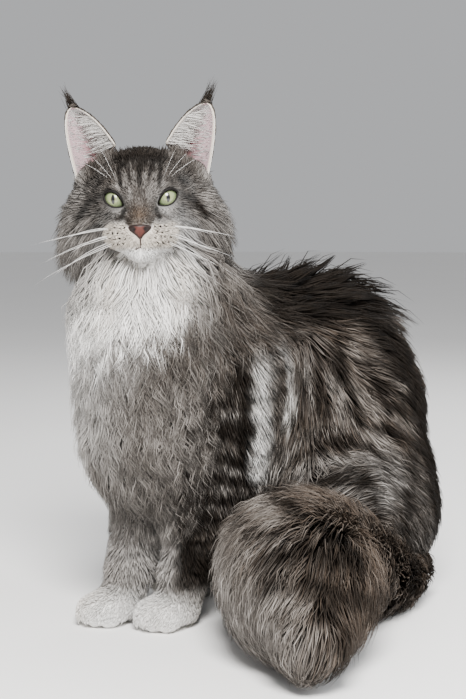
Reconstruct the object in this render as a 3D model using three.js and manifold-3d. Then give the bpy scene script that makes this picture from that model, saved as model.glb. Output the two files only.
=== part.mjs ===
import * as THREE from "three";
import { mergeVertices } from "three/addons/utils/BufferGeometryUtils.js";
import Module from "manifold-3d";

const wasm = await Module();
wasm.setup();

// A life-size sitting Maine Coon cat, in millimetres.
// The cat's own frame: x to its left, -y forwards, z up, the floor at z 0.
// Every form of the body is a ball or a tapered limb under the skin, with the
// depth of the coat that lies over it. A node's core is one closed skin drawn
// round its forms, and its locks run from that core out to the coat's tips.

// Driving sizes
const GAP = 0.35;
const CORE_SHARE = 0.46;
const SHORT_COAT = 9;
const HEAD_AT = new THREE.Vector3(6, -62, 391);
const HEAD_TURN = THREE.MathUtils.degToRad(50);
const NECK_TOP = [2, -52, 362];
const NECK_FOOT = [-4, -20, 275];
const SHOULDER_HEIGHT = 236;
const SHOULDER_HALF = 44;
const BACK_HEIGHT = 250;
const RUMP_AT = [0, 172, 84];
const RUMP_RADIUS = 76;
const WAIST_AT = 98;
const KNEE = [70, 84, 94];
const HOCK = [64, 182, 20];
const EYE_RADIUS = 11.5;
const EYE_AT = [22, -24, 0];
const FORELEGS = {
  left: { side: 1, elbow: [34, -4, 142], wrist: [26, -32, 46], paw: [24, -49] },
  right: { side: -1, elbow: [-36, -16, 142], wrist: [-25, -55, 46], paw: [-24, -79] },
};
// The tail's bone from root to tip: place, radius and depth of coat
const TAIL = [
  { at: [0, 214, 40], bone: 18, coat: 14 },
  { at: [50, 216, 34], bone: 16, coat: 15 },
  { at: [88, 190, 30], bone: 15, coat: 16 },
  { at: [106, 150, 32], bone: 14, coat: 24 },
  { at: [116, 104, 44], bone: 13, coat: 38 },
  { at: [124, 52, 60], bone: 12, coat: 56 },
  { at: [146, 0, 68], bone: 11, coat: 64 },
  { at: [196, -40, 68], bone: 9, coat: 62 },
  { at: [256, -84, 42], bone: 4, coat: 26 },
];
const TAIL_CUTS = [2.4, 4.3, 6.2];
const HIPS_SEED = 22;
// The locks of each node: length, width and thickness, and the spacing of rows and of locks in a row
const LOCKS = {
  head: { long: 48, wide: 28, thick: 4, rows: 27, apart: 34 },
  neck: { long: 88, wide: 33, thick: 6, rows: 33, apart: 37 },
  chest: { long: 84, wide: 33, thick: 6, rows: 37, apart: 37 },
  torso: { long: 82, wide: 37, thick: 5, rows: 41, apart: 42 },
  hips: { long: 90, wide: 40, thick: 5, rows: 46, apart: 45 },
  thigh: { long: 76, wide: 35, thick: 4.5, rows: 43, apart: 40 },
  foreleg: { long: 66, wide: 30, thick: 4, rows: 43, apart: 38 },
  tail: { long: 110, wide: 40, thick: 5.5, rows: 41, apart: 46 },
};

// Colours of the coat by node
const COLOURS = {
  grey: 0x6f6862,
  dark: 0x4a4541,
  white: 0xe6e1da,
  pale: 0xa59d94,
  pink: 0xb9928a,
  eye: 0x9aa45a,
};

// Small vector helpers
const vec = (p) => new THREE.Vector3(p[0], p[1], p[2]);
const lerp = THREE.MathUtils.lerp;

function seeded(seed) {
  let state = seed;
  return () => {
    state = (state * 1664525 + 1013904223) % 4294967296;
    return state / 4294967296;
  };
}

// Forms of the body
function ball(at, radii, coat, blend = 14) {
  return { at: vec(at), radii: vec(radii), coat: [coat, coat], blend };
}

function limb(from, to, radii, coat, blend = 14) {
  const depths = Array.isArray(coat) ? coat : [coat, coat];
  return { from: vec(from), to: vec(to), radii, coat: depths, blend };
}

function both(form) {
  const other = { ...form };
  for (const key of ["at", "from", "to"]) {
    if (form[key]) other[key] = form[key].clone().multiply(new THREE.Vector3(-1, 1, 1));
  }
  return [form, other];
}

function distanceTo(form, p, depthOf) {
  if (form.at) {
    const grow = depthOf(form.coat[0]);
    const x = p.x - form.at.x;
    const y = p.y - form.at.y;
    const z = p.z - form.at.z;
    const a = form.radii.x + grow;
    const b = form.radii.y + grow;
    const c = form.radii.z + grow;
    const k0 = Math.hypot(x / a, y / b, z / c);
    const k1 = Math.hypot(x / (a * a), y / (b * b), z / (c * c)) + 1e-9;
    return (k0 * (k0 - 1)) / k1;
  }
  const axis = form.to.clone().sub(form.from);
  const away = p.clone().sub(form.from);
  const t = THREE.MathUtils.clamp(away.dot(axis) / axis.lengthSq(), 0, 1);
  const [start, end] = [0, 1].map((n) => form.radii[n] + depthOf(form.coat[n]));
  const radius = lerp(start, end, t);
  return away.addScaledVector(axis, -t).length() - radius;
}

function smoothMin(a, b, k) {
  const h = Math.max(k - Math.abs(a - b), 0) / k;
  return Math.min(a, b) - h * h * k * 0.25;
}

// A field is below zero inside its forms, each grown by the depth that is asked for
function fieldOf(forms, depthOf, more = 0) {
  const far = 200;
  return (p) => forms.reduce((d, form) => smoothMin(d, distanceTo(form, p, depthOf), form.blend), far) - more;
}

const coreDepth = (coat) => (coat <= SHORT_COAT ? coat : Math.max(SHORT_COAT, coat * CORE_SHARE));
const shareDepth = (share) => (coat) => coat * share;

// Closed skins
function solidOf(points, faces) {
  const vertProperties = new Float32Array(points.flatMap((p) => [p.x, p.y, p.z]));
  const triVerts = new Uint32Array(faces.flat());
  const made = new wasm.Manifold(new wasm.Mesh({ numProp: 3, vertProperties, triVerts }));
  if (made.volume() > 0) return made;
  const turned = new Uint32Array(faces.map((f) => [f[0], f[2], f[1]]).flat());
  return new wasm.Manifold(new wasm.Mesh({ numProp: 3, vertProperties, triVerts: turned }));
}

// Rows of points, each a ring or a single pole, joined into one closed skin
function skinOf(rows) {
  const points = rows.flat();
  const starts = [];
  rows.reduce((sum, row) => (starts.push(sum), sum + row.length), 0);
  const faces = [];
  for (let r = 0; r < rows.length - 1; r++) {
    const [a, b] = [rows[r].length, rows[r + 1].length];
    const sides = Math.max(a, b);
    for (let i = 0; i < sides; i++) {
      const j = (i + 1) % sides;
      const p0 = starts[r] + (a > 1 ? i : 0);
      const p1 = starts[r] + (a > 1 ? j : 0);
      const q0 = starts[r + 1] + (b > 1 ? i : 0);
      const q1 = starts[r + 1] + (b > 1 ? j : 0);
      if (a > 1) faces.push([p0, p1, q0]);
      if (b > 1) faces.push([p1, q1, q0]);
    }
  }
  // A three-sided end needs no pole: one triangle closes it
  if (rows[0].length === 3) faces.push([0, 2, 1]);
  return solidOf(points, faces);
}

function geometrySolid(geometry) {
  const bare = geometry.clone();
  bare.deleteAttribute("normal");
  bare.deleteAttribute("uv");
  const merged = mergeVertices(bare, 1e-4);
  const at = merged.attributes.position;
  const pointAt = (i) => new THREE.Vector3().fromBufferAttribute(at, i);
  const points = Array.from({ length: at.count }, (_, i) => pointAt(i));
  const faces = [];
  for (let i = 0; i < merged.index.count; i += 3) {
    const face = [0, 1, 2].map((n) => merged.index.getX(i + n));
    if (new Set(face).size === 3) faces.push(face);
  }
  return solidOf(points, faces);
}

// The place where a ray from inside leaves a field
function leave(field, from, direction) {
  const step = 3;
  let out = step;
  while (out < 260 && field(from.clone().addScaledVector(direction, out)) < 0) out += step;
  let inside = out - step;
  for (let i = 0; i < 12; i++) {
    const middle = (inside + out) / 2;
    if (field(from.clone().addScaledVector(direction, middle)) < 0) inside = middle;
    else out = middle;
  }
  return from.clone().addScaledVector(direction, out);
}

// A skin round an axis: a ring of rays at each of its points, and a dome at each end
function wrap(field, axis, { sides = 18, domes = 2, along = null, up = [0, 0, 1] }) {
  const rows = [];
  const last = axis.length - 1;
  const ring = (n, lift) => {
    const [before, after] = [axis[Math.max(n - 1, 0)], axis[Math.min(n + 1, last)]];
    const forward = (along ? vec(along) : after.clone().sub(before)).normalize();
    const u = vec(up).addScaledVector(forward, -vec(up).dot(forward)).normalize();
    const v = forward.clone().cross(u);
    const shoot = (turn) => {
      const out = u.clone().multiplyScalar(Math.cos(turn)).addScaledVector(v, Math.sin(turn));
      out.multiplyScalar(Math.cos(lift)).addScaledVector(forward, Math.sin(lift));
      return leave(field, axis[n], out);
    };
    if (Math.abs(Math.cos(lift)) < 1e-6) return [shoot(0)];
    return Array.from({ length: sides }, (_, i) => shoot((2 * Math.PI * i) / sides));
  };
  for (let d = 0; d <= domes; d++) rows.push(ring(0, -(Math.PI / 2) * (1 - d / (domes + 1))));
  for (let n = 0; n <= last; n++) rows.push(ring(n, 0));
  for (let d = 1; d <= domes + 1; d++) rows.push(ring(last, (Math.PI / 2) * (d / (domes + 1))));
  return skinOf(rows);
}

function curveThrough(points, count) {
  return new THREE.CatmullRomCurve3(points.map(vec), false, "centripetal").getPoints(count - 1);
}

function lineOf(from, to, count) {
  return Array.from({ length: count }, (_, i) => vec(from).lerp(vec(to), i / (count - 1)));
}

// Large flat-faced blocks that cut the floor, the waist and the tail's joints
function block(low, high) {
  const size = vec(high).sub(vec(low));
  const shape = new THREE.BoxGeometry(size.x, size.y, size.z);
  const middle = vec(low).add(vec(high)).multiplyScalar(0.5);
  shape.translate(middle.x, middle.y, middle.z);
  return geometrySolid(shape);
}

function halfSpace(at, facing) {
  const size = 900;
  const shape = new THREE.BoxGeometry(size, size, size);
  shape.translate(0, 0, size / 2);
  const upright = new THREE.Vector3(0, 0, 1);
  const turn = new THREE.Quaternion().setFromUnitVectors(upright, facing.clone().normalize());
  shape.applyQuaternion(turn);
  shape.translate(at.x, at.y, at.z);
  return geometrySolid(shape);
}

const FLOOR = block([-600, -600, -600], [600, 600, 0]);

// The head's forms stand in the head's own frame, with z 0 at the eyes
const HEAD_FORMS = [
  ball([0, 12, 10], [36, 44, 31], 6, 9),
  ball([0, -12, 13], [27, 24, 22], 5, 9),
  ball([0, -42, -27], [21, 24, 15], 3, 8),
  ball([0, -50, -44], [12, 12, 9], 3, 6),
  limb([0, -18, 12], [0, -58, -18], [13, 7.5], 3, 8),
  ball([0, -62, -23], [8, 6, 6], 2, 5),
  ball([0, 10, -35], [30, 32, 30], 14, 9),
  ...both(ball([27, -2, -14], [21, 27, 25], 9, 9)),
  ...both(ball([15, -50, -31], [16, 14, 12], 3, 6)),
  ...both(ball([17, -25, 12], [13, 10, 8], 3, 7)),
  ...both(ball([22, -22, 0], [14, 12, 12], 1.5, 5)),
  ...both(ball([40, 12, 20], [19, 20, 20], 5, 9)),
  ...both(ball([40, 12, -28], [26, 26, 30], 12, 14)),
];

const toCat = new THREE.Matrix4().makeRotationZ(HEAD_TURN).setPosition(HEAD_AT);
const toHead = toCat.clone().invert();

const NECK_FORMS = [
  limb(NECK_TOP, NECK_FOOT, [38, 50], 30, 22),
  ball([-3, -46, 300], [50, 46, 55], 30, 20),
];

const CHEST_FORMS = [
  ball([0, -42, 242], [54, 50, 64], 28, 22),
  ball([-2, -34, 178], [48, 44, 50], 28, 22),
];

const TRUNK_FORMS = [
  ball([0, 40, 212], [60, 92, 72], 22, 24),
  limb([0, 10, BACK_HEIGHT + 6], [0, 148, BACK_HEIGHT - 7], [38, 54], 25, 24),
  limb([0, 80, 200], [0, 150, 196], [76, 79], 24, 26),
  limb([0, 160, 178], RUMP_AT, [80, RUMP_RADIUS], 24, 26),
  limb([0, 30, 155], [0, 130, 105], [52, 64], 26, 24),
];

function forelegForms({ side, elbow, wrist, paw }) {
  return [
    limb([side * SHOULDER_HALF, 6, SHOULDER_HEIGHT], elbow, [36, 28], 18, 18),
    limb(elbow, wrist, [23, 15], [18, 10], 10),
    limb(wrist, [paw[0], paw[1] + 12, 18], [14.5, 15], [10, 5], 8),
  ];
}

function pawForms({ paw }) {
  const toes = [-15, -5.5, 5.5, 15].map((x) => {
    const reach = Math.abs(x) > 10 ? 11 : 18;
    return ball([paw[0] + x, paw[1] - reach, 11.5], [6.8, 12, 10.5], 5, 3);
  });
  return [ball([paw[0], paw[1] + 2, 15], [20, 24, 14], 5, 7), ...toes];
}

function thighForms(side) {
  const out = (p) => [side * p[0], p[1], p[2]];
  return [
    limb(out([46, 168, 92]), out(KNEE), [62, 46], 21, 26),
    limb(out([72, 80, 84]), out([62, 184, 32]), [30, 18], 12, 12),
  ];
}

function hindFootForms(side) {
  const out = (p) => [side * p[0], p[1], p[2]];
  return [
    limb(out(HOCK), out([70, 62, 15]), [15, 13], 6, 10),
    ball(out([71, 48, 14]), [19, 25, 13], 4, 7),
  ];
}

function tailForms() {
  return TAIL.slice(1).map((to, i) => {
    const from = TAIL[i];
    return limb(from.at, to.at, [from.bone, to.bone], [from.coat, to.coat], 10);
  });
}

// The head, in its own frame: sockets, lids, nostrils and the line of the mouth
function headSolid(grow) {
  const axis = curveThrough([[0, -46, -28], [0, -22, -8], [0, 4, -2], [0, 20, -4]], 11);
  return wrap(fieldOf(HEAD_FORMS, coreDepth, grow), axis, { sides: 24, domes: 2, along: [0, 1, 0] });
}

function eyeSolid(side, grow) {
  const shape = new THREE.SphereGeometry(EYE_RADIUS + grow, 12, 8);
  shape.translate(side * EYE_AT[0], EYE_AT[1], EYE_AT[2]);
  return geometrySolid(shape);
}

// The almond between the lids, cut from the eyeball's middle forwards
function almond(side) {
  const inner = new THREE.Vector2(-11, -7);
  const outer = new THREE.Vector2(10, 5);
  const outline = new THREE.Shape();
  outline.moveTo(inner.x, inner.y);
  outline.bezierCurveTo(-8, 4, 2, 10.5, outer.x, outer.y);
  outline.bezierCurveTo(8, -6, -1, -9.5, inner.x, inner.y);
  const shape = new THREE.ExtrudeGeometry(outline, { depth: 40, bevelEnabled: false, curveSegments: 6 });
  shape.rotateX(Math.PI / 2);
  if (side < 0) shape.scale(-1, 1, 1);
  shape.rotateZ(side * 0.2);
  shape.translate(side * EYE_AT[0], EYE_AT[1], EYE_AT[2]);
  return geometrySolid(shape);
}

function sweep(points, radii, sides) {
  const last = points.length - 1;
  const rows = points.map((p, n) => {
    const forward = points[Math.min(n + 1, last)].clone().sub(points[Math.max(n - 1, 0)]).normalize();
    const u = new THREE.Vector3(0, 1, 0).addScaledVector(forward, -forward.y).normalize();
    const v = forward.clone().cross(u);
    return Array.from({ length: sides }, (_, i) => {
      const turn = (2 * Math.PI * i) / sides;
      const out = u.clone().multiplyScalar(Math.cos(turn)).addScaledVector(v, Math.sin(turn));
      return p.clone().addScaledVector(out, radii[n]);
    });
  });
  return skinOf([[points[0]], ...rows, [points[last]]]);
}

function mouthCuts() {
  const field = fieldOf(HEAD_FORMS, coreDepth);
  const onFace = (x, z) => leave(field, new THREE.Vector3(x, -40, z), new THREE.Vector3(0, -1, 0));
  const lips = [];
  for (let i = 0; i <= 6; i++) {
    const x = lerp(0, 24, i / 6);
    const z = -38 - 5 * Math.sin((Math.PI * i) / 6) + (i / 6) * 2;
    lips.push(onFace(x, z));
  }
  const left = sweep(lips, lips.map((_, i) => lerp(1.6, 0.7, i / 6)), 4);
  const right = left.mirror([1, 0, 0]);
  const cleft = [-29, -32, -35, -38.5].map((z) => onFace(0, z));
  return [left, right, sweep(cleft, cleft.map(() => 1.1), 4)];
}

function nostrils() {
  const field = fieldOf(HEAD_FORMS, coreDepth);
  return [-1, 1].map((side) => {
    const at = leave(field, new THREE.Vector3(side * 4.6, -40, -23.5), new THREE.Vector3(0, -1, 0));
    const shape = new THREE.SphereGeometry(1, 6, 5);
    shape.scale(2.1, 4.5, 1.5);
    shape.rotateZ(side * 0.5);
    shape.rotateY(side * 0.5);
    shape.translate(at.x, at.y, at.z);
    return geometrySolid(shape);
  });
}

// An ear is a thin cup: an arc from its front inner edge round the back to its outer edge
const EAR = {
  inner: [15, 0, 36],
  innerTop: [40, -2, 66],
  outer: [58, 8, 14],
  outerTop: [67, 6, 55],
  tip: [61, 3, 84],
};
const EAR_CUP = 22;
const EAR_THICK = 2.2;
// Roots along the ear's inner edge, across and up, with each tuft's length
const EAR_FURNISHING = [[25, 44, 31], [33, 56, 29]];

function earSolid(side, grow) {
  const edge = (from, middle, to, t) => {
    return new THREE.QuadraticBezierCurve3(vec(from), vec(middle), vec(to)).getPoint(t);
  };
  const back = new THREE.Vector3(-0.25, 0.97, 0.05).normalize();
  const bend = 1.25;
  const shell = (t, s, thick) => {
    const a = edge(EAR.inner, EAR.innerTop, EAR.tip, t);
    const b = edge(EAR.outer, EAR.outerTop, EAR.tip, t);
    const middle = a.clone().lerp(b, 0.5);
    const half = b.clone().sub(a).multiplyScalar(0.5);
    const wide = half.length() + thick;
    const deep = EAR_CUP * Math.pow(1 - t, 0.75) + thick * 1.6;
    const across = (wide * Math.sin(s * bend)) / Math.sin(bend);
    const inwards = (deep * (Math.cos(s * bend) - Math.cos(bend))) / (1 - Math.cos(bend));
    return middle.addScaledVector(half.normalize(), across).addScaledVector(back, inwards);
  };
  const steps = 5;
  const arcs = 6;
  const rows = [];
  for (let i = 0; i <= steps; i++) {
    const t = 0.97 * (1 - Math.pow(1 - i / steps, 1.2));
    const half = EAR_THICK / 2 + grow;
    const outside = Array.from({ length: arcs + 1 }, (_, j) => shell(t, -1 + (2 * j) / arcs, half));
    const inside = Array.from({ length: arcs + 1 }, (_, j) => shell(t, 1 - (2 * j) / arcs, -half));
    rows.push([...outside, ...inside]);
  }
  const foot = rows[0].reduce((sum, p) => sum.add(p), new THREE.Vector3()).divideScalar(rows[0].length);
  rows.unshift([foot]);
  rows.push([vec(EAR.tip)]);
  const made = skinOf(rows);
  return side > 0 ? made : made.mirror([1, 0, 0]);
}

// The axis that each node's core is drawn round
const NECK_AXIS = [[0, -54, 352], [-4, -30, 268]];
const CHEST_AXIS = [[0, -38, 262], [0, -34, 160]];
const TRUNK_AXIS = [[0, 0, 214], [0, 176, 132]];
const thighAxis = (side) => [[side * 68, 84, 84], [side * 52, 172, 80]];
const hindFootAxis = (side) => [[side * 71, 46, 14], [side * 64, 182, 20]];
const pawAxis = ({ paw }) => [[paw[0], paw[1] - 18, 13], [paw[0], paw[1] + 8, 15]];
const UPRIGHT = { up: [0, -1, 0] };
const LEVEL = { along: [0, 1, 0] };

// The core of each node, drawn round its forms
function coreOf(forms, [from, to], steps, layout) {
  return (grow) => wrap(fieldOf(forms, coreDepth, grow), lineOf(from, to, steps), layout);
}

const neckCore = coreOf(NECK_FORMS, NECK_AXIS, 5, { ...UPRIGHT, sides: 14 });
const chestCore = coreOf(CHEST_FORMS, CHEST_AXIS, 5, { ...UPRIGHT, sides: 16 });
const trunkCore = coreOf(TRUNK_FORMS, TRUNK_AXIS, 9, { ...LEVEL, sides: 20 });
const thighCore = (side) => coreOf(thighForms(side), thighAxis(side), 5, { ...LEVEL, sides: 14 });
const hindFootCore = (side) => coreOf(hindFootForms(side), hindFootAxis(side), 5, { ...LEVEL, sides: 9 });
const forepawCore = (leg) => coreOf(pawForms(leg), pawAxis(leg), 4, { ...LEVEL, sides: 18 });
const forelegCore = (leg) => (grow) => {
  const shoulder = [leg.side * SHOULDER_HALF, 6, SHOULDER_HEIGHT];
  const ankle = [leg.paw[0], leg.paw[1] + 12, 20];
  const axis = curveThrough([shoulder, leg.elbow, leg.wrist, ankle], 8);
  return wrap(fieldOf(forelegForms(leg), coreDepth, grow), axis, { ...UPRIGHT, sides: 10, domes: 1 });
};
const tailCore = (grow) => {
  const axis = curveThrough(TAIL.map((step) => step.at), 18);
  return wrap(fieldOf(tailForms(), coreDepth, grow), axis, { sides: 12 });
};

// Node solids, each cut clear of the ones made before it
const solids = new Map();
const clearances = [];

function largest(solid) {
  const pieces = solid.decompose();
  return pieces.sort((a, b) => b.volume() - a.volume())[0];
}

function boxesMeet(a, b) {
  return [0, 1, 2].every((i) => a.min[i] < b.max[i] && b.min[i] < a.max[i]);
}

function place(name, solid, clearance) {
  let made = solid.subtract(FLOOR);
  const box = made.boundingBox();
  for (const other of clearances) {
    if (boxesMeet(box, other.box)) made = made.subtract(other.solid);
  }
  made = largest(made);
  solids.set(name, made);
  clearances.push({ name, solid: clearance, box: clearance.boundingBox() });
}

const inCat = (solid) => solid.transform(toCat.elements);

const eyes = { left: 1, right: -1 };
for (const [name, side] of Object.entries(eyes)) {
  place(`eye_${name}`, inCat(eyeSolid(side, 0)), inCat(eyeSolid(side, GAP)));
}
const faceCuts = [almond(1), almond(-1), ...mouthCuts(), ...nostrils()];
const face = faceCuts.reduce((head, cut) => head.subtract(cut), headSolid(0));
place("head", inCat(face), inCat(headSolid(GAP)));
for (const [name, side] of Object.entries(eyes)) {
  place(`ear_${name}`, inCat(earSolid(side, 0)), inCat(earSolid(side, GAP)));
}
place("neck", neckCore(0), neckCore(GAP));
place("chest", chestCore(0), chestCore(GAP));

function halves(core, cut, forward) {
  const front = core(0).subtract(halfSpace(cut, forward));
  const rear = core(0).intersect(halfSpace(cut.clone().addScaledVector(forward, GAP), forward));
  return [front, rear];
}

const waist = new THREE.Vector3(0, WAIST_AT, 0);
const [torsoPart, hipsPart] = halves(trunkCore, waist, new THREE.Vector3(0, 1, 0));
const trunkClearance = trunkCore(GAP);
place("torso", torsoPart, trunkClearance);
clearances.pop();
place("hips", hipsPart, trunkClearance);

for (const [name, leg] of Object.entries(FORELEGS)) {
  const wristCut = new THREE.Vector3(leg.paw[0], leg.paw[1], 32);
  const paw = forepawCore(leg);
  const upper = forelegCore(leg);
  place(`forepaw_${name}`, paw(0).subtract(halfSpace(wristCut, new THREE.Vector3(0, 0, 1))), paw(GAP));
  place(`foreleg_${name}`, upper(0), upper(GAP));
}
for (const [name, side] of Object.entries(eyes)) {
  const foot = hindFootCore(side);
  const thigh = thighCore(side);
  place(`thigh_${name}`, thigh(0), thigh(GAP));
  place(`hindfoot_${name}`, foot(0), foot(GAP));
}

const tailCurve = new THREE.CatmullRomCurve3(TAIL.map((step) => vec(step.at)), false, "centripetal");
const tailNames = ["tail_root", "tail_base", "tail_middle", "tail_tip"];
const tailWhole = tailCore(0);
tailNames.forEach((name, n) => {
  let length = tailWhole;
  const cutAt = (k) => TAIL_CUTS[k] / (TAIL.length - 1);
  if (n > 0) {
    const t = cutAt(n - 1);
    const forward = tailCurve.getTangent(t);
    length = length.intersect(halfSpace(tailCurve.getPoint(t).addScaledVector(forward, GAP), forward));
  }
  if (n < TAIL_CUTS.length) {
    const t = cutAt(n);
    length = length.subtract(halfSpace(tailCurve.getPoint(t), tailCurve.getTangent(t)));
  }
  place(name, length, length);
});

// The coat: the whole body's outer forms, in which a share of 1 is the tips of the hair
const BODY_FORMS = [
  ...NECK_FORMS,
  ...CHEST_FORMS,
  ...TRUNK_FORMS,
  ...Object.values(FORELEGS).flatMap((leg) => [...forelegForms(leg), ...pawForms(leg)]),
  ...Object.values(eyes).flatMap((side) => [...thighForms(side), ...hindFootForms(side)]),
];
const TAIL_FORMS = tailForms();

function coatField(forms, share) {
  const depthOf = shareDepth(share);
  const head = fieldOf(HEAD_FORMS, depthOf);
  const rest = fieldOf(forms, depthOf);
  return (p) => smoothMin(rest(p), head(p.clone().applyMatrix4(toHead)), 12);
}

function slopeOf(field, p) {
  const d = field(p);
  const step = 0.8;
  const slope = new THREE.Vector3(
    field(new THREE.Vector3(p.x + step, p.y, p.z)) - d,
    field(new THREE.Vector3(p.x, p.y + step, p.z)) - d,
    field(new THREE.Vector3(p.x, p.y, p.z + step)) - d,
  );
  return { d, out: slope.normalize() };
}

// Moves a point onto the layer of the coat at a share of its depth
function settle(forms, p, share) {
  const field = coatField(forms, share);
  const at = p.clone();
  let slope = slopeOf(field, at);
  for (let i = 0; i < 3; i++) {
    at.addScaledVector(slope.out, -slope.d);
    slope = slopeOf(field, at);
  }
  return { at, out: slope.out };
}

// An ear's tufts: a brush at the tip, and long hairs that rise from its inner edge across the cup
function earTufts(side) {
  const tufts = [];
  const blade = (from, to, sag, wide, thick) => {
    const forward = to.clone().sub(from);
    const across = new THREE.Vector3(0, 1, 0).cross(forward).normalize();
    const rows = [0, 0.5].map((t) => {
      const at = from.clone().addScaledVector(forward, t).addScaledVector(sag, Math.sin(Math.PI * t));
      const half = (wide / 2) * (1 - 0.35 * t);
      const ridge = at.clone().add(new THREE.Vector3(0, -thick * (1 - 0.3 * t), 0));
      const [left, right] = [-half, half].map((by) => at.clone().addScaledVector(across, by));
      return [left, ridge, right];
    });
    return skinOf([...rows, [to]]);
  };
  const place = (p) => vec([p[0] * side, p[1], p[2]]);
  const tip = EAR.tip;
  for (const lean of [-4, 1, 6]) {
    const from = place([tip[0] - 2 + lean * 0.3, tip[1] + 2, tip[2] - 7]);
    const to = place([tip[0] + 3 + lean, tip[1] + 2 - lean * 0.4, tip[2] + 20 - Math.abs(lean)]);
    tufts.push(blade(from, to, place([-1.5, 0, 0]), 6, 2.4));
  }
  for (const [x, z, length] of EAR_FURNISHING) {
    const from = place([x, 3.5, z]);
    const to = place([x + length * 0.62, -4, z + length * 0.72]);
    tufts.push(blade(from, to, place([1, -3, 0]), 7, 2.2));
  }
  return tufts.map(inCat);
}

// A lock is a flat blade of three-sided stations that follows the lie from the core to the tips
const LOCK_STATIONS = [
  { along: 0, wide: 0.8, thick: 1, share: CORE_SHARE },
  { along: 0.4, wide: 1, thick: 1, share: 0.72 },
  { along: 0.78, wide: 0.66, thick: 0.7, share: 0.94 },
];
const ROOT_SINK = 7;

function layLock(forms, root, heading, size, bend, more) {
  const rows = [];
  let at = root.clone();
  let direction = heading.clone();
  let travelled = 0;
  for (const station of LOCK_STATIONS) {
    const stepLength = (station.along - travelled) * size.long;
    travelled = station.along;
    at.addScaledVector(direction, stepLength);
    const { at: on, out } = settle(forms, at, station.share);
    at = on;
    direction.applyAxisAngle(out, bend * 0.25);
    direction.addScaledVector(out, -direction.dot(out)).normalize();
    const across = direction.clone().cross(out).normalize();
    const half = (size.wide * station.wide) / 2 + more * 2;
    const sunk = station.along === 0 ? -ROOT_SINK : 0;
    const edge = (side) => {
      const there = settle(forms, at.clone().addScaledVector(across, side * half), station.share);
      return there.at.addScaledVector(there.out, sunk - more);
    };
    const ridge = at.clone().addScaledVector(out, size.thick * station.thick + sunk + more * 2);
    rows.push([edge(-1), ridge, edge(1)]);
  }
  const rest = (1 - travelled) * size.long + more * 3;
  const tip = settle(forms, at.clone().addScaledVector(direction, rest), 1).at;
  return skinOf([...rows, [tip]]);
}

// Roots in staggered rows round a node's core
function rootsOn(field, axis, { rows, apart, along = null, up = [0, 0, 1], domes = true }, random) {
  const path = new THREE.CatmullRomCurve3(axis);
  const count = Math.max(2, Math.round(path.getLength() / rows));
  const roots = [];
  let phase = 0;
  const addRing = (t, lift) => {
    const at = path.getPointAt(THREE.MathUtils.clamp(t, 0, 1));
    const forward = along ? vec(along) : path.getTangentAt(THREE.MathUtils.clamp(t, 0, 1));
    const u = vec(up).addScaledVector(forward, -vec(up).dot(forward)).normalize();
    const v = forward.clone().cross(u);
    const shoot = (turn) => {
      const out = u.clone().multiplyScalar(Math.cos(turn)).addScaledVector(v, Math.sin(turn));
      out.multiplyScalar(Math.cos(lift)).addScaledVector(forward, Math.sin(lift));
      return leave(field, at, out.normalize());
    };
    const girth = [0, 1, 2, 3, 4, 5].reduce((sum, i) => {
      const [p, q] = [shoot((i * Math.PI) / 3), shoot(((i + 1) * Math.PI) / 3)];
      return sum + p.distanceTo(q) * 1.05;
    }, 0);
    const around = Math.max(1, Math.round(girth / apart));
    phase = phase === 0 ? 0.5 : 0;
    for (let i = 0; i < around; i++) {
      const turn = (2 * Math.PI * (i + phase + (random() - 0.5) * 0.16)) / around;
      roots.push({ at: shoot(turn), room: girth / around });
    }
  };
  if (!domes) {
    for (let n = 0; n <= count; n++) addRing(n / count, 0);
    return roots;
  }
  const dome = shootable(field, path.getPointAt(0), path.getTangentAt(0).negate()) / rows;
  const tilt = (d, size) => (Math.PI / 2) * Math.min(1, d / Math.max(size, 1));
  for (let d = Math.floor(dome); d >= 1; d--) addRing(0, -tilt(d, dome));
  for (let n = 0; n <= count; n++) addRing(n / count, 0);
  const far = shootable(field, path.getPointAt(1), path.getTangentAt(1)) / rows;
  for (let d = 1; d <= Math.floor(far); d++) addRing(1, tilt(d, far));
  return roots;
}

function shootable(field, from, direction) {
  return leave(field, from, direction.normalize()).distanceTo(from) * 1.3;
}

// The lie of the coat, node by node
const FACE_MIDDLE = new THREE.Vector3(0, -40, -10).applyMatrix4(toCat);
const LIE = {
  neck: (p) => p.clone().sub(FACE_MIDDLE).normalize().multiplyScalar(0.8).add(vec([0, 0.1, -1])),
  chest: () => vec([0, 0.12, -1]),
  torso: (p) => vec([0, 1, p.z > 240 ? -0.25 : -0.75]),
  hips: (p) => vec([0, 0.8, p.y > 190 ? -1.4 : -0.55]),
  thigh: () => vec([0, 1, -0.55]),
  foreleg: (p) => vec([0, p.y > 4 ? 0.75 : 0.2, -1]),
  head: (p) => {
    const at = p.clone().applyMatrix4(toHead);
    const out = new THREE.Vector3(at.x * 0.9, 26, at.z < 10 ? -30 : 4);
    return out.transformDirection(toCat);
  },
};

const lockPieces = new Map([...solids.keys()].map((name) => [name, []]));
function meets(solid, name) {
  const box = solid.boundingBox();
  for (const [other, core] of solids) {
    if (other === name) continue;
    const all = [{ solid: core, box: core.boundingBox() }, ...lockPieces.get(other)];
    for (const piece of all) {
      if (boxesMeet(box, piece.box) && !solid.intersect(piece.solid).isEmpty()) return true;
    }
  }
  return false;
}

const TRIES = [
  { long: 1, turn: 0 },
  { long: 0.78, turn: 0.3 },
  { long: 0.78, turn: -0.3 },
  { long: 0.55, turn: 0 },
];

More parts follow.
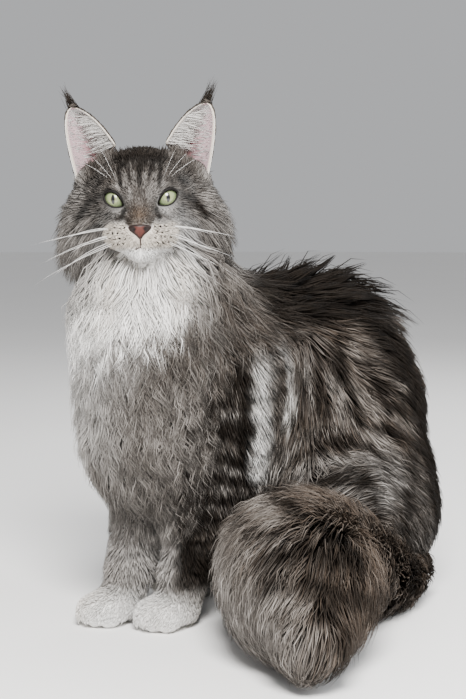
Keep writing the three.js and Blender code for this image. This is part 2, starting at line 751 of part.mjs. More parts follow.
function growLock(name, forms, root, out, heading, size, random) {
  const bend = (random() - 0.5) * 0.8;
  const longer = 0.88 + random() * 0.28;
  const wider = 0.9 + random() * 0.18;
  const start = heading.clone().addScaledVector(out, -heading.dot(out)).normalize();
  for (const attempt of TRIES) {
    const direction = start.clone().applyAxisAngle(out, attempt.turn);
    const cut = { long: size.long * longer * attempt.long, wide: size.wide * wider, thick: size.thick };
    const clear = layLock(forms, root, direction, cut, bend, GAP);
    if (clear.status() !== "NoError" || meets(clear, name)) continue;
    const lock = layLock(forms, root, direction, cut, bend, 0);
    lockPieces.get(name).push({ solid: lock, box: lock.boundingBox() });
    return;
  }
}

// A root is bare where neither the floor, the belly's shade nor another node's core covers it
function isBare(name, root, out) {
  const shaded = out.z < -0.62 && !name.startsWith("tail");
  if (root.z < 14 || shaded) return false;
  const speck = geometrySolid(new THREE.OctahedronGeometry(3)).translate([root.x, root.y, root.z]);
  return !meets(speck, name);
}

function coatNode(name, forms, field, axis, size, lie, layout, seed, where = () => true) {
  const random = seeded(seed);
  for (const { at: root, room } of rootsOn(field, axis, { ...size, ...layout }, random)) {
    const { out } = settle(forms, root, CORE_SHARE);
    if (!where(root, out) || !isBare(name, root, out)) continue;
    const fitted = { ...size, wide: Math.min(size.wide, room * 0.9) };
    growLock(name, forms, root, out, lie(root), fitted, random);
  }
}

for (const [name, side] of Object.entries(eyes)) {
  const pieces = lockPieces.get(`ear_${name}`);
  for (const tuft of earTufts(side)) pieces.push({ solid: tuft, box: tuft.boundingBox() });
}
const headField = fieldOf(HEAD_FORMS, coreDepth);
const isCheek = (p) => {
  const at = p.clone().applyMatrix4(toHead);
  return at.z < 20 && Math.abs(at.x) > 24;
};
const headAxis = [[0, 2, -8], [0, 14, -8], [0, 24, -8]].map((p) => vec(p).applyMatrix4(toCat));
const headLayout = { along: vec([0, 1, 0]).transformDirection(toCat).toArray() };
const headCore = (p) => headField(p.clone().applyMatrix4(toHead));
coatNode("head", BODY_FORMS, headCore, headAxis, LOCKS.head, LIE.head, headLayout, 10, isCheek);

function coatBody(name, forms, [from, to], kind, layout, seed, where) {
  const core = fieldOf(forms, coreDepth);
  coatNode(name, BODY_FORMS, core, lineOf(from, to, 3), LOCKS[kind], LIE[kind], layout, seed, where);
}

const TORSO_AXIS = [[0, 20, 205], [0, WAIST_AT - 8, 172]];
const HIPS_AXIS = [[0, WAIST_AT + 10, 165], [0, 176, 132]];
coatBody("neck", NECK_FORMS, NECK_AXIS, "neck", UPRIGHT, 11);
coatBody("chest", CHEST_FORMS, CHEST_AXIS, "chest", UPRIGHT, 12);
coatBody("torso", TRUNK_FORMS, TORSO_AXIS, "torso", LEVEL, 13);
coatBody("hips", TRUNK_FORMS, HIPS_AXIS, "hips", LEVEL, HIPS_SEED);
for (const [name, side] of Object.entries(eyes)) {
  const isOuter = (root, out) => out.x * side > -0.2;
  coatBody(`thigh_${name}`, thighForms(side), thighAxis(side), "thigh", LEVEL, 15 + side, isOuter);
}
for (const [name, leg] of Object.entries(FORELEGS)) {
  const axis = [[leg.side * SHOULDER_HALF, 6, SHOULDER_HEIGHT], leg.elbow];
  const isOuter = (root, out) => out.x * leg.side > -0.3;
  coatBody(`foreleg_${name}`, forelegForms(leg), axis, "foreleg", UPRIGHT, 18 + leg.side, isOuter);
}
const tailLie = (p) => {
  let best = 0;
  for (let t = 0; t <= 1; t += 0.02) {
    if (tailCurve.getPoint(t).distanceTo(p) < tailCurve.getPoint(best).distanceTo(p)) best = t;
  }
  return tailCurve.getTangent(best);
};
tailNames.forEach((name, n) => {
  const from = n === 0 ? 0.02 : TAIL_CUTS[n - 1] / (TAIL.length - 1) + 0.02;
  const to = n === TAIL_CUTS.length ? 0.97 : TAIL_CUTS[n] / (TAIL.length - 1) - 0.02;
  const axis = [0, 0.33, 0.67, 1].map((t) => tailCurve.getPoint(lerp(from, to, t)));
  const core = fieldOf(TAIL_FORMS, coreDepth);
  coatNode(name, TAIL_FORMS, core, axis, LOCKS.tail, tailLie, { domes: false }, 30 + n);
});

for (const [name, pieces] of lockPieces) {
  if (pieces.length === 0) continue;
  const whole = wasm.Manifold.union([solids.get(name), ...pieces.map((piece) => piece.solid)]);
  solids.set(name, largest(whole.subtract(FLOOR)));
}

// The scene graph
const finish = {
  eye: [COLOURS.eye, 0.15],
  head: [COLOURS.pale, 0.9],
  ear: [COLOURS.pink, 0.85],
  neck: [COLOURS.pale, 0.95],
  chest: [COLOURS.white, 0.95],
  forepaw: [COLOURS.white, 0.9],
  tail: [COLOURS.grey, 0.95],
  torso: [COLOURS.dark, 0.95],
  hips: [COLOURS.dark, 0.95],
};

function meshOf(name, solid) {
  const mesh = solid.getMesh();
  const geometry = new THREE.BufferGeometry();
  const points = new Float32Array(mesh.numVert * 3);
  for (let i = 0; i < mesh.numVert; i++) {
    for (let n = 0; n < 3; n++) points[i * 3 + n] = mesh.vertProperties[i * mesh.numProp + n];
  }
  geometry.setAttribute("position", new THREE.BufferAttribute(points, 3));
  geometry.setIndex(Array.from(mesh.triVerts));
  const [color, roughness] = finish[name.split("_")[0]] ?? [COLOURS.grey, 0.95];
  const made = new THREE.Mesh(geometry, new THREE.MeshStandardMaterial({ color, roughness, metalness: 0 }));
  made.name = name;
  return made;
}

const cat = new THREE.Group();
const whole = new THREE.Box3();
for (const [name, solid] of solids) {
  const mesh = meshOf(name, solid);
  whole.expandByObject(mesh);
  cat.add(mesh);
}
const middle = whole.getCenter(new THREE.Vector3());
const object = new THREE.Group();
cat.position.set(-middle.x, -middle.y, -whole.min.z);
object.add(cat);
object.updateMatrixWorld(true);

export default object;
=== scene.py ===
import math
import bpy
import numpy as np
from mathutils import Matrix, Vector, kdtree


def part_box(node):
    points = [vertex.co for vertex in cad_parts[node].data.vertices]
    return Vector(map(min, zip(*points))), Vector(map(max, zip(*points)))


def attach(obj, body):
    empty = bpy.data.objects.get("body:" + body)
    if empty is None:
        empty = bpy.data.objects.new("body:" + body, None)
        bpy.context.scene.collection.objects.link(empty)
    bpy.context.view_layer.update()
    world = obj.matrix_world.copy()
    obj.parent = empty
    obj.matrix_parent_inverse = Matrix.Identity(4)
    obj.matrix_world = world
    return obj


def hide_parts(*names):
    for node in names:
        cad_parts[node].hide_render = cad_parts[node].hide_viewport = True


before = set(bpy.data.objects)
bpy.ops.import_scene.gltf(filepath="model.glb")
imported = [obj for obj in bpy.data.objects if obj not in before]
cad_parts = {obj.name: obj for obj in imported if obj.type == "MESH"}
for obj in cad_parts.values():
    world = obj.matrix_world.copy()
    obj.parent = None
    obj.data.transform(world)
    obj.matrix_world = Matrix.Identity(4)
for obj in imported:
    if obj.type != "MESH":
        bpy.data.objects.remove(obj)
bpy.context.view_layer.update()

# A sitting Maine Coon cat. All forms are worked out in millimetres in the cat's own
# frame: x to its left, -y forwards, z up, the floor at z 0, as in the part's source.
HEAD_AT = np.array([6.0, -62.0, 391.0])
HEAD_TURN = math.radians(50)
HEAD_TILT = math.radians(2)
EYE_AT = np.array([22.0, -24.0, 0.0])
EYE_TURN = 0.2
SIDES = {"left": 1, "right": -1}
FORELEGS = {
    "left": dict(side=1, elbow=(34, -4, 142), wrist=(26, -32, 46), paw=(24, -49)),
    "right": dict(side=-1, elbow=(-36, -16, 142), wrist=(-25, -55, 46), paw=(-24, -79)),
}
# The tail's bone: place, radius and depth of coat
TAIL = (
    ((0, 214, 40), 18, 14),
    ((50, 216, 34), 16, 15),
    ((88, 190, 30), 15, 16),
    ((106, 150, 32), 14, 24),
    ((116, 104, 44), 13, 38),
    ((124, 52, 60), 12, 56),
    ((146, 0, 68), 11, 64),
    ((196, -40, 68), 9, 62),
    ((256, -84, 42), 5, 33),
)
# The skin stands at this share of the coat's depth, or this far under the tips where that is
# further out
SKIN_SHARE, LOOSE_COAT = 0.3, 26
BARE_COAT = 1.6  # a coat thinner than this is all skin
FLOOR_LIFT = 0.4
FAR = 60.0  # a field's value where no form is near
REACH_MARGIN = 40  # past a form's own reach, where it still counts
LEAST_ROOM = 1.0  # between the skin and the tips


def turn_matrix(angle):
    c, s = math.cos(angle), math.sin(angle)
    return np.array([[c, -s, 0], [s, c, 0], [0, 0, 1]])


def tilt_matrix(angle):
    c, s = math.cos(angle), math.sin(angle)
    return np.array([[c, 0, -s], [0, 1, 0], [s, 0, c]])


HEAD_MATRIX = turn_matrix(HEAD_TURN) @ tilt_matrix(HEAD_TILT)


def from_head(points):
    return np.asarray(points, float) @ HEAD_MATRIX.T + HEAD_AT


def to_head(points):
    return (np.asarray(points, float) - HEAD_AT) @ HEAD_MATRIX


def unit(v):
    v = np.asarray(v, float)
    return v / np.maximum(np.linalg.norm(v, axis=-1, keepdims=True), 1e-9)


def middle_of(node):
    low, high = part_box(node)
    return (np.array(low) + np.array(high)) * 500


# Where the cat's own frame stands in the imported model, in millimetres
PLACE = middle_of("eye_left") - turn_matrix(HEAD_TURN) @ EYE_AT - HEAD_AT


def in_metres(points):
    return (np.asarray(points, float) + PLACE) / 1000


# Forms of the body: balls and tapered limbs under the skin, each with its depth of coat
def ball(at, radii, coat, blend=14, turn=0.0):
    return dict(kind="ball", at=np.array(at, float), radii=np.array(radii, float),
                coat=(coat, coat), blend=blend, turn=turn)


def limb(start, end, radii, coat, blend=14):
    depths = coat if isinstance(coat, tuple) else (coat, coat)
    return dict(kind="limb", start=np.array(start, float), end=np.array(end, float),
                radii=radii, coat=depths, blend=blend)


def mirrored(form):
    other = dict(form)
    for key in ("at", "start", "end"):
        if key in form:
            other[key] = form[key] * [-1, 1, 1]
    return other


def both(form):
    return [form, mirrored(form)]


def turned_with_head(form):
    other = dict(form)
    for key in ("at", "start", "end"):
        if key in form:
            other[key] = from_head(form[key])
    other["turn"] = HEAD_TURN
    return other


HEAD_FORMS = [turned_with_head(form) for form in [
    ball((0, 12, 10), (36, 44, 31), 6, 9),
    ball((0, -12, 13), (27, 24, 22), 5, 9),
    ball((0, -42, -27), (21, 24, 15), 3, 8),
    ball((0, -50, -44), (12, 12, 9), 3, 6),
    limb((0, -18, 12), (0, -58, -18), (13, 7.5), 3, 8),
    ball((0, -62, -23), (8, 6, 6), 2, 5),
    ball((0, 10, -35), (30, 32, 30), 14, 9),
    *both(ball((27, -2, -14), (21, 27, 25), 9, 9)),
    *both(ball((15, -50, -31), (16, 14, 12), 3, 6)),
    *both(ball((17, -25, 12), (13, 10, 8), 3, 7)),
    *both(ball((22, -22, 0), (14, 12, 12), 1.5, 5)),
    *both(ball((39, 16, 13), (19, 20, 18), 5, 9)),
    *both(ball((40, 12, -28), (26, 26, 30), 12, 14)),
]]
NECK_FORMS = [
    limb((2, -52, 362), (-4, -20, 275), (38, 50), 30, 22),
    ball((-3, -46, 300), (50, 46, 55), 30, 20),
]
CHEST_FORMS = [
    ball((0, -42, 242), (54, 50, 64), 28, 22),
    ball((-3, -36, 178), (49, 46, 54), 33, 22),
]
TRUNK_FORMS = [
    ball((0, 40, 212), (60, 92, 72), 22, 24),
    limb((0, 10, 256), (0, 148, 243), (38, 54), 25, 24),
    limb((0, 80, 200), (0, 150, 196), (76, 79), 24, 26),
    limb((0, 160, 178), (0, 174, 80), (80, 78), 27, 26),
    limb((0, 30, 155), (0, 130, 105), (52, 64), 26, 24),
]


def foreleg_forms(leg):
    x, y = leg["paw"]
    return [
        limb((leg["side"] * 44, 6, 236), leg["elbow"], (36, 28), 18, 18),
        limb(leg["elbow"], leg["wrist"], (23, 15), (18, 10), 10),
        limb(leg["wrist"], (x, y + 12, 18), (14.5, 15), (10, 5), 8),
    ]


def toes(x, y, outer_reach, inner_reach, height):
    reaches = ((-15, outer_reach), (-5.5, inner_reach), (5.5, inner_reach), (15, outer_reach))
    return [ball((x + dx, y - reach, height), (6.8, 12, 10.5), 5, 3) for dx, reach in reaches]


def paw_forms(leg):
    x, y = leg["paw"]
    return [ball((x, y + 2, 15), (20, 24, 14), 5, 7), *toes(x, y, 11, 18, 11.5)]


def thigh_forms(side):
    return [
        limb((side * 46, 168, 92), (side * 70, 84, 94), (62, 46), 21, 26),
        limb((side * 72, 80, 84), (side * 62, 184, 32), (30, 18), 12, 12),
    ]


def hind_foot_forms(side):
    return [
        limb((side * 64, 182, 20), (side * 70, 62, 15), (15, 13), 6, 10),
        ball((side * 71, 48, 14), (19, 25, 13), 4, 7),
        *toes(side * 71, 40, 9, 14, 11),
    ]


TAIL_FORMS = [limb(a[0], b[0], (a[1], b[1]), (a[2], b[2]), 10) for a, b in zip(TAIL[:-1], TAIL[1:])]
REGIONS = {
    "head": HEAD_FORMS,
    "neck": NECK_FORMS,
    "chest": CHEST_FORMS,
    "trunk": TRUNK_FORMS,
    "tail": TAIL_FORMS,
}
for name, leg in FORELEGS.items():
    REGIONS[f"foreleg_{name}"] = foreleg_forms(leg)
    REGIONS[f"forepaw_{name}"] = paw_forms(leg)
for name, side in SIDES.items():
    REGIONS[f"thigh_{name}"] = thigh_forms(side)
    REGIONS[f"hindfoot_{name}"] = hind_foot_forms(side)
BODY_FORMS = [form for name, forms in REGIONS.items() if name != "tail" for form in forms]


def skin_depth(coat):
    return coat if coat < BARE_COAT else max(coat * SKIN_SHARE, coat - LOOSE_COAT)


def full_depth(coat):
    return coat


def distance_to(form, x, y, z, depth_of):
    if form["kind"] == "ball":
        x, y, z = x - form["at"][0], y - form["at"][1], z - form["at"][2]
        c, s = math.cos(form["turn"]), math.sin(form["turn"])
        x, y = c * x + s * y, c * y - s * x
        a, b, h = form["radii"] + depth_of(form["coat"][0])
        near = np.sqrt((x / a) ** 2 + (y / b) ** 2 + (z / h) ** 2)
        slope = np.sqrt((x / a**2) ** 2 + (y / b**2) ** 2 + (z / h**2) ** 2) + 1e-9
        return near * (near - 1) / slope
    axis = form["end"] - form["start"]
    x, y, z = x - form["start"][0], y - form["start"][1], z - form["start"][2]
    t = np.clip((x * axis[0] + y * axis[1] + z * axis[2]) / (axis @ axis), 0, 1)
    start, end = (r + depth_of(c) for r, c in zip(form["radii"], form["coat"]))
    x, y, z = x - t * axis[0], y - t * axis[1], z - t * axis[2]
    return np.sqrt(x * x + y * y + z * z) - (start + (end - start) * t)


def smooth_min(a, b, blend):
    near = np.maximum(blend - np.abs(a - b), 0) / blend
    return np.minimum(a, b) - near * near * blend * 0.25


def field(forms, points, depth_of):
    points = np.asarray(points, float)
    x, y, z = points[..., 0], points[..., 1], points[..., 2]
    d = np.full(x.shape, FAR)
    for form in forms:
        d = smooth_min(d, distance_to(form, x, y, z, depth_of), form["blend"])
    return d


def reach_of(form, depth_of):
    if form["kind"] == "ball":
        r = form["radii"].max() + depth_of(form["coat"][0])
        return form["at"] - r, form["at"] + r
    r = max(a + depth_of(c) for a, c in zip(form["radii"], form["coat"]))
    return np.minimum(form["start"], form["end"]) - r, np.maximum(form["start"], form["end"]) + r


# A grid that is fine round the face and coarser over the body
def graded(low, high, fine_low, fine_high, fine, coarse):
    before = np.arange(fine_low - coarse, low - coarse, -coarse)[::-1]
    after = np.arange(fine_high + coarse, high + coarse, coarse)
    return np.concatenate([before, np.arange(fine_low, fine_high + fine / 2, fine), after])


FINE, COARSE = 1.7, 3.6
AXES = (
    graded(-150, 320, -48, 66, FINE, COARSE),
    graded(-140, 300, -132, -8, FINE, COARSE),
    graded(-12, 470, 336, 440, FINE, COARSE),
)


def grid_cut(low, high):
    return tuple(slice(*np.searchsorted(axis, (a, b))) for axis, a, b in zip(AXES, low, high))


def sampled(forms, depth_of):
    grid = np.full([len(axis) for axis in AXES], FAR, np.float32)
    for form in forms:
        low, high = reach_of(form, depth_of)
        margin = form["blend"] + REACH_MARGIN
        cut = grid_cut(low - margin, high + margin)
        x, y, z = np.ix_(*(axis[c] for axis, c in zip(AXES, cut)))
        part = distance_to(form, x, y, z, depth_of)
        grid[cut] = smooth_min(grid[cut], part, form["blend"])
    return grid


def looked_up(grid, points):
    spans = []
    for n, axis in enumerate(AXES):
        i = np.clip(np.searchsorted(axis, points[:, n]) - 1, 0, len(axis) - 2)
        t = np.clip((points[:, n] - axis[i]) / (axis[i + 1] - axis[i]), 0, 1)
        spans.append((i, t))
    (i, u), (j, v), (k, w) = spans
    total = 0
    for a, b, c in np.ndindex(2, 2, 2):
        share = (u if a else 1 - u) * (v if b else 1 - v) * (w if c else 1 - w)
        total = total + grid[i + a, j + b, k + c] * share
    return total


class Layers:
    """The skin and the tips of the coat as two fields over the grid."""

    def __init__(self, forms):
        self.skin = sampled(forms, skin_depth)
        self.tips = sampled(forms, full_depth)

    def out(self, points, step=2.0):
        d = looked_up(self.skin, points)
        slope = [looked_up(self.skin, points + step * np.eye(3)[n]) - d for n in range(3)]
        return unit(np.stack(slope, 1))

    def room(self, points):
        d = looked_up(self.skin, points)
        return d, np.maximum(d - looked_up(self.tips, points), LEAST_ROOM)

    def lifted(self, points, least):
        """The points moved out until they stand at least so far off the skin."""
        for _ in range(2):
            short = np.clip(least - looked_up(self.skin, points), 0, 12)
            points = points + self.out(points) * short[:, None]
        return points

    def settled(self, points, share):
        """The points moved out or in to a share of the coat's depth."""
        for _ in range(2):
            d, room = self.room(points)
            points = points + self.out(points) * (share * room - d)[:, None]
        return points


BODY = Layers(BODY_FORMS)
TAIL_LAYERS = Layers(TAIL_FORMS)
HEAD_LAYERS = Layers(HEAD_FORMS)


# Smooth noise, the same in each run
def lattice(i, j, k, seed):
    n = (i * 374761393 + j * 668265263 + k * 2147483647 + seed * 1274126177) & 0xFFFFFFFF
    n = ((n ^ (n >> 13)) * 1274126177) & 0xFFFFFFFF
    return ((n ^ (n >> 16)) & 0xFFFF) / 65535.0


def noise(points, size, seed):
    p = np.asarray(points, float) / size
    base = np.floor(p).astype(np.int64)
    t = p - base
    t = t * t * (3 - 2 * t)
    total = 0
    for corner in np.ndindex(2, 2, 2):
        share = np.where(corner, t, 1 - t).prod(axis=1)
        total = total + share * lattice(*(base + corner).T, seed)
    return total * 2 - 1


def step_between(low, high, value):
    t = np.clip((value - low) / (high - low), 0, 1)
    return t * t * (3 - 2 * t)


def bump(value, middle, width):
    return np.exp(-(((value - middle) / width) ** 2))


# The markings, read from a place on the coat: dark, white, warm brown and pale shares. Those of
# the face are in the head's frame, alike on both sides.
# Bars of the forehead: place, half a width, lowest height and strength
FOREHEAD_BARS = ((0, 2.6, 7, 1.0), (8.6, 1.6, 10, 0.75), (17.5, 2.2, 6, 1.0))
# Dark lines of a cheek: from, to and half a width
FACE_LINES = (
    ((33, 4), (47, -3), 4.4),
    ((47, -3), (57, -17), 4.6),
    ((34, -20), (54, -30), 3.8),
    ((14, -9), (17, -17), 2.4),
    ((32, -34), (52, -47), 4.6),
)
# Heights of the rows of whisker dots, and how far every other row is set outwards
SPOT_ROWS = (-24.4, -28.8, -33.4, -38.2)
SPOT_SHIFT = 1.6


def away_from(x, y, a, b):
    """How far each place lies from the line between two others."""
    run, rise = b[0] - a[0], b[1] - a[1]
    t = np.clip(((x - a[0]) * run + (y - a[1]) * rise) / (run**2 + rise**2), 0, 1)
    return np.hypot(x - a[0] - t * run, y - a[1] - t * rise)


def forehead_dark(x, z, front, ragged):
    bars = np.zeros(len(x))
    for at, wide, low, strength in FOREHEAD_BARS:
        middle = at + (z - 18) * 0.12 + 0.8 * ragged
        bar = bump(x, middle, wide) * step_between(low, low + 6, z + 2 * ragged)
        bars = np.maximum(bars, bar * strength * step_between(34, 28, z) * front)
    crown = step_between(21, 33, z + 4 * ragged) * step_between(30, 17, x + 3 * ragged)
    return np.maximum(bars, crown * (0.84 + 0.2 * np.cos(x * 1.1) + 0.25 * ragged))


def muzzle_dots(x, y, z):
    dots = np.zeros(len(x))
    for row, height in enumerate(SPOT_ROWS):
        for column in range(4):
            at = 15 + column * 4.4 + (row % 2) * SPOT_SHIFT
            dot = np.exp(-(((x - at) / 1.35) ** 2 + ((z - height) / 1.2) ** 2))
            dots = np.maximum(dots, dot * step_between(-30, -40, y))
    return dots


def lid_shade(p):
    shade = np.zeros(len(p))
    for side in SIDES.values():
        local = eye_frame(p, side)
        away = inside_almond(local[:, 0], local[:, 2])
        shade = np.maximum(shade, bump(away, 0.6, 2.0) * 0.95 * step_between(8, 2, local[:, 1]))
    return shade


def mouth_shade(x, y, z):
    philtrum = bump(x, 0, 0.9) * step_between(-45, -42, z) * step_between(-32, -34, z)
    lip_height = -42.5 - 3.4 * np.sin(np.clip(x / 21, 0, 1) * np.pi)
    lips = bump(z, lip_height, 1.0) * step_between(22, 18, x)
    return np.maximum(philtrum, lips * 0.75) * step_between(-28, -38, y)


def face_pale(p, x, z, front, ragged, dark):
    """Pale fur round the eyes, between the forehead's bars and on the ruff of the cheeks."""
    under_eye = bump(x, 20, 9) * bump(z, -11.5, 3) * front
    over_eye = bump(x, 17, 7) * bump(z, 11.5, 2.6) * front
    between = step_between(8, 12, z) * step_between(27, 22, z) * step_between(24, 20, x)
    between = between * front * (1 - dark)
    inner = bump(x, 9, 3.5) * bump(z, 3, 9) * front
    ruff = step_between(40, 58, x) * (0.8 + 0.4 * ragged)
    ground = 0.05 + 0.3 * noise(p, 12, 31)
    return np.maximum.reduce([under_eye, over_eye, between * 0.4, inner * 0.7, ruff * 0.85, ground])


def face_marks(p):
    h = to_head(p)
    x, y, z = np.abs(h[:, 0]), h[:, 1], h[:, 2]
    front = step_between(14, -12, y)
    ragged = noise(p, 5, 33)
    mask = bump(x, 34, 15) * bump(z, -13, 13) * (0.6 + 0.5 * noise(p, 7, 34))
    temple = bump(x, 38, 15) * bump(z, 15, 10) * (0.5 + 0.5 * noise(p, 7, 35))
    back = step_between(0, 20, y) * step_between(-10, 10, z) * (0.55 + 0.3 * noise(p, 14, 3))
    darks = [
        forehead_dark(x, z, front, ragged), muzzle_dots(x, y, z), lid_shade(p),
        mouth_shade(x, y, z), mask, temple, back,
    ]
    darks += [bump(away_from(x, z, start, end), 0, wide) for start, end, wide in FACE_LINES]
    dark = np.maximum.reduce(darks)
    top = -17 - 6 * step_between(13, 9, x) + 2 * noise(p, 5, 36)
    muzzle = step_between(-31, -44, y + 5 * noise(p, 6, 38)) * step_between(top, top - 6, z)
    chin = step_between(-40, -46, z) * step_between(30, 20, x) * step_between(6, -20, y)
    white = np.maximum(muzzle * (0.6 + 0.2 * noise(p, 4, 37)), chin * 0.9)
    warm = np.maximum(bump(x, 0, 8) * bump(z, -14, 8) * front * 0.6, muzzle * 0.6 * (1 - chin))
    return dark, white, warm, face_pale(p, x, z, front, ragged, dark)


# Stripes and pale streaks of one side, alike on the other: half a width, a strength and a
# line of places, each the way across the flank as seen from the front left, and the height
DARK_STRIPES = (
    (19, 1.0, ((47, 309), (78, 314), (112, 312), (141, 299), (170, 280))),
    (15, 1.0, ((170, 278), (193, 245), (209, 210), (225, 167), (238, 121), (247, 64))),
    (12, 0.8, ((53, 291), (91, 291), (128, 281))),
    (6, 0.95, ((46, 245), (50, 209), (46, 146))),
    (3.5, 0.8, ((118, 257), (112, 196))),
    (3, 0.6, ((100, 253), (101, 190))),
    (8, 0.95, ((134, 251), (142, 220))),
    (4, 0.7, ((119, 220), (122, 193))),
    (8, 0.95, ((161, 236), (178, 208))),
    (7, 0.9, ((175, 199), (199, 183))),
    (5, 0.8, ((148, 208), (154, 180))),
    (6, 0.8, ((167, 179), (194, 164))),
    (6, 0.7, ((183, 246), (196, 227))),
    (4, 0.75, ((88, 148), (122, 163), (158, 162), (181, 147), (191, 123))),
    (5, 0.75, ((106, 128), (140, 137), (166, 126), (174, 93))),
    (5, 0.7, ((127, 108), (147, 105), (156, 76))),
    (6, 0.7, ((195, 136), (205, 99), (201, 66))),
    (5, 0.85, ((-24, 226), (-7, 224), (19, 241))),
    (5, 0.85, ((-26, 216), (5, 217), (42, 227))),
    (4.5, 0.8, ((12, 212), (44, 204))),
    (8, 0.9, ((-1, 185), (15, 190), (42, 185))),
    (6, 0.9, ((-3, 155), (21, 159), (45, 154))),
    (6, 0.9, ((1, 140), (22, 142), (45, 136))),
    (5.5, 0.9, ((-13, 119), (3, 124), (27, 120))),
    (3.5, 0.7, ((-19, 106), (-1, 109), (20, 106))),
    (6, 0.95, ((-20, 92), (-1, 95), (18, 92))),
    (3, 0.6, ((-23, 77), (-6, 79), (12, 76))),
    (7, 0.6, ((28, 274), (40, 256))),
    (6, 0.5, ((12, 260), (28, 254))),
)
PALE_STREAKS = (
    (8.5, 1.0, ((66, 246), (63, 223), (66, 182), (61, 139))),
    (3.6, 0.62, ((81, 262), (88, 232), (92, 186))),
    (3.5, 0.8, ((103, 233), (108, 192))),
    (8, 0.8, ((130, 218), (139, 193))),
    (6, 0.6, ((153, 248), (164, 226))),
    (8, 0.8, ((157, 209), (175, 188))),
    (4, 0.8, ((193, 219), (202, 209))),
    (6, 0.8, ((194, 184), (208, 170))),
    (5, 1.0, ((71, 135), (99, 168), (135, 178), (168, 172), (187, 155), (195, 122))),
    (5, 0.9, ((91, 137), (124, 150), (153, 152), (177, 141), (184, 108))),
    (5, 0.7, ((103, 114), (140, 122), (158, 97), (161, 62))),
    (8, 0.8, ((-15, 205), (8, 203), (36, 196))),
    (12, 1.0, ((-28, 174), (-10, 174), (10, 169))),
    (4.5, 0.8, ((-6, 147), (20, 149), (44, 146))),
    (5, 0.9, ((-17, 130), (5, 133), (29, 130))),
    (4, 0.9, ((-25, 110), (-1, 115), (18, 113))),
    (4, 0.9, ((-27, 99), (-5, 102), (15, 100))),
    (5, 0.8, ((-28, 92), (-28, 38))),
)
FRINGE = PALE_STREAKS[:2]
TAIL_DARK = (
    (4, 0.9, ((46, 133), (77, 138), (109, 124), (130, 107), (145, 89))),
    (2.5, 0.7, ((38, 112), (69, 121), (95, 112))),
    (11, 0.62, ((66, 103), (97, 109), (130, 97))),
    (8, 0.6, ((60, 83), (97, 86), (140, 74))),
    (10, 0.6, ((104, 67), (132, 72), (156, 60))),
    (2.8, 0.6, ((69, 60), (94, 63), (124, 52))),
    (12, 0.5, ((122, 47), (128, 26), (114, 6))),
)
TAIL_PALE = (
    (4, 0.9, ((23, 115), (46, 129), (73, 129))),
    (2.6, 0.9, ((46, 104), (66, 116), (82, 113))),
    (8, 0.9, ((17, 81), (28, 62), (40, 38))),
    # This stroke is a painted highlight across the front of the tail
    (5, 1.0, ((44, 60), (65, 73), (96, 73))),
    (4, 0.7, ((49, 46), (86, 63), (114, 54))),
    (11, 0.45, ((52, 22), (66, 40), (93, 46))),
)


ACROSS_X, ACROSS_Y = 0.643, 0.766  # the way across the flank for each mm of x and of y
BAR_STEP = 19  # from one bar of the foreleg to the next
RING_STEP = 54  # from one ring of the tail to the next


def flank_way(p):
    return np.abs(p[:, 0]) * ACROSS_X + p[:, 1] * ACROSS_Y


def strokes(side, height, lines):
    """How strongly each place lies on the nearest of the lines."""
    found = np.zeros(len(side))
    for wide, strength, line in lines:
        for a, b in zip(line[:-1], line[1:]):
            away = away_from(side, height, a, b)
            found = np.maximum(found, strength * np.exp(-((away / wide) ** 3)))
    return found


class CoatPlaces:
    """Places on the coat, with the weights of the regions and the mottling that the marks read."""

    def __init__(self, p, weights):
        self.p = p
        self.x, self.y, self.z = p[:, 0], p[:, 1], p[:, 2]
        self.wide = np.abs(self.x)
        self.rough, self.middling, self.fine = noise(p, 34, 5), noise(p, 15, 21), noise(p, 7, 22)
        self.trunk, self.tail, self.head = (weights[name] for name in ("trunk", "tail", "head"))
        self.haunch = sum(weights[f"thigh_{name}"] for name in SIDES)
        self.legs = sum(weights[f"foreleg_{name}"] for name in SIDES)
        feet = ("forepaw", "hindfoot")
        self.feet = sum(weights[f"{part}_{name}"] for part in feet for name in SIDES)
        self.breast = weights["neck"] + weights["chest"]
        self.side = flank_way(p) + 4 * self.middling + 2.5 * self.fine
        self.height = self.z + 4 * noise(p, 14, 23) + 2.5 * noise(p, 6, 24)


def body_marks(at):
    """Stripes, mottling and pale streaks, with a dark spine, ridge and rump."""
    dark = strokes(at.side, at.height, DARK_STRIPES)
    streak = strokes(at.side, at.height, PALE_STREAKS)
    mottled = step_between(-0.1, 0.45, 0.6 * noise(at.p, 22, 7) + 0.5 * noise(at.p, 9, 8))
    dark = np.maximum(dark, mottled * 0.62 * (at.trunk + at.haunch * 0.8))
    spine = step_between(30, 12, at.wide + 7 * at.fine) * step_between(0, 30, at.y) * at.trunk
    ridge = step_between(268, 288, at.z + 4 * at.fine) * at.trunk * (0.8 + 0.2 * at.rough)
    rump = 0.55 * step_between(110, 185, at.y) * (0.75 + 0.5 * at.middling)
    rump = rump * (at.trunk + 0.5 * at.haunch)
    dark = np.maximum(dark, rump) * (1 - 0.95 * streak)
    dark = np.maximum(dark, np.maximum(0.75 * spine, ridge))
    pale = np.clip(0.12 + 0.2 * at.rough + 0.15 * at.fine + 0.66 * streak, 0, 1)
    warm = np.clip(0.22 + 0.3 * noise(at.p, 60, 9), 0, 1)
    return dark, warm, pale, mottled


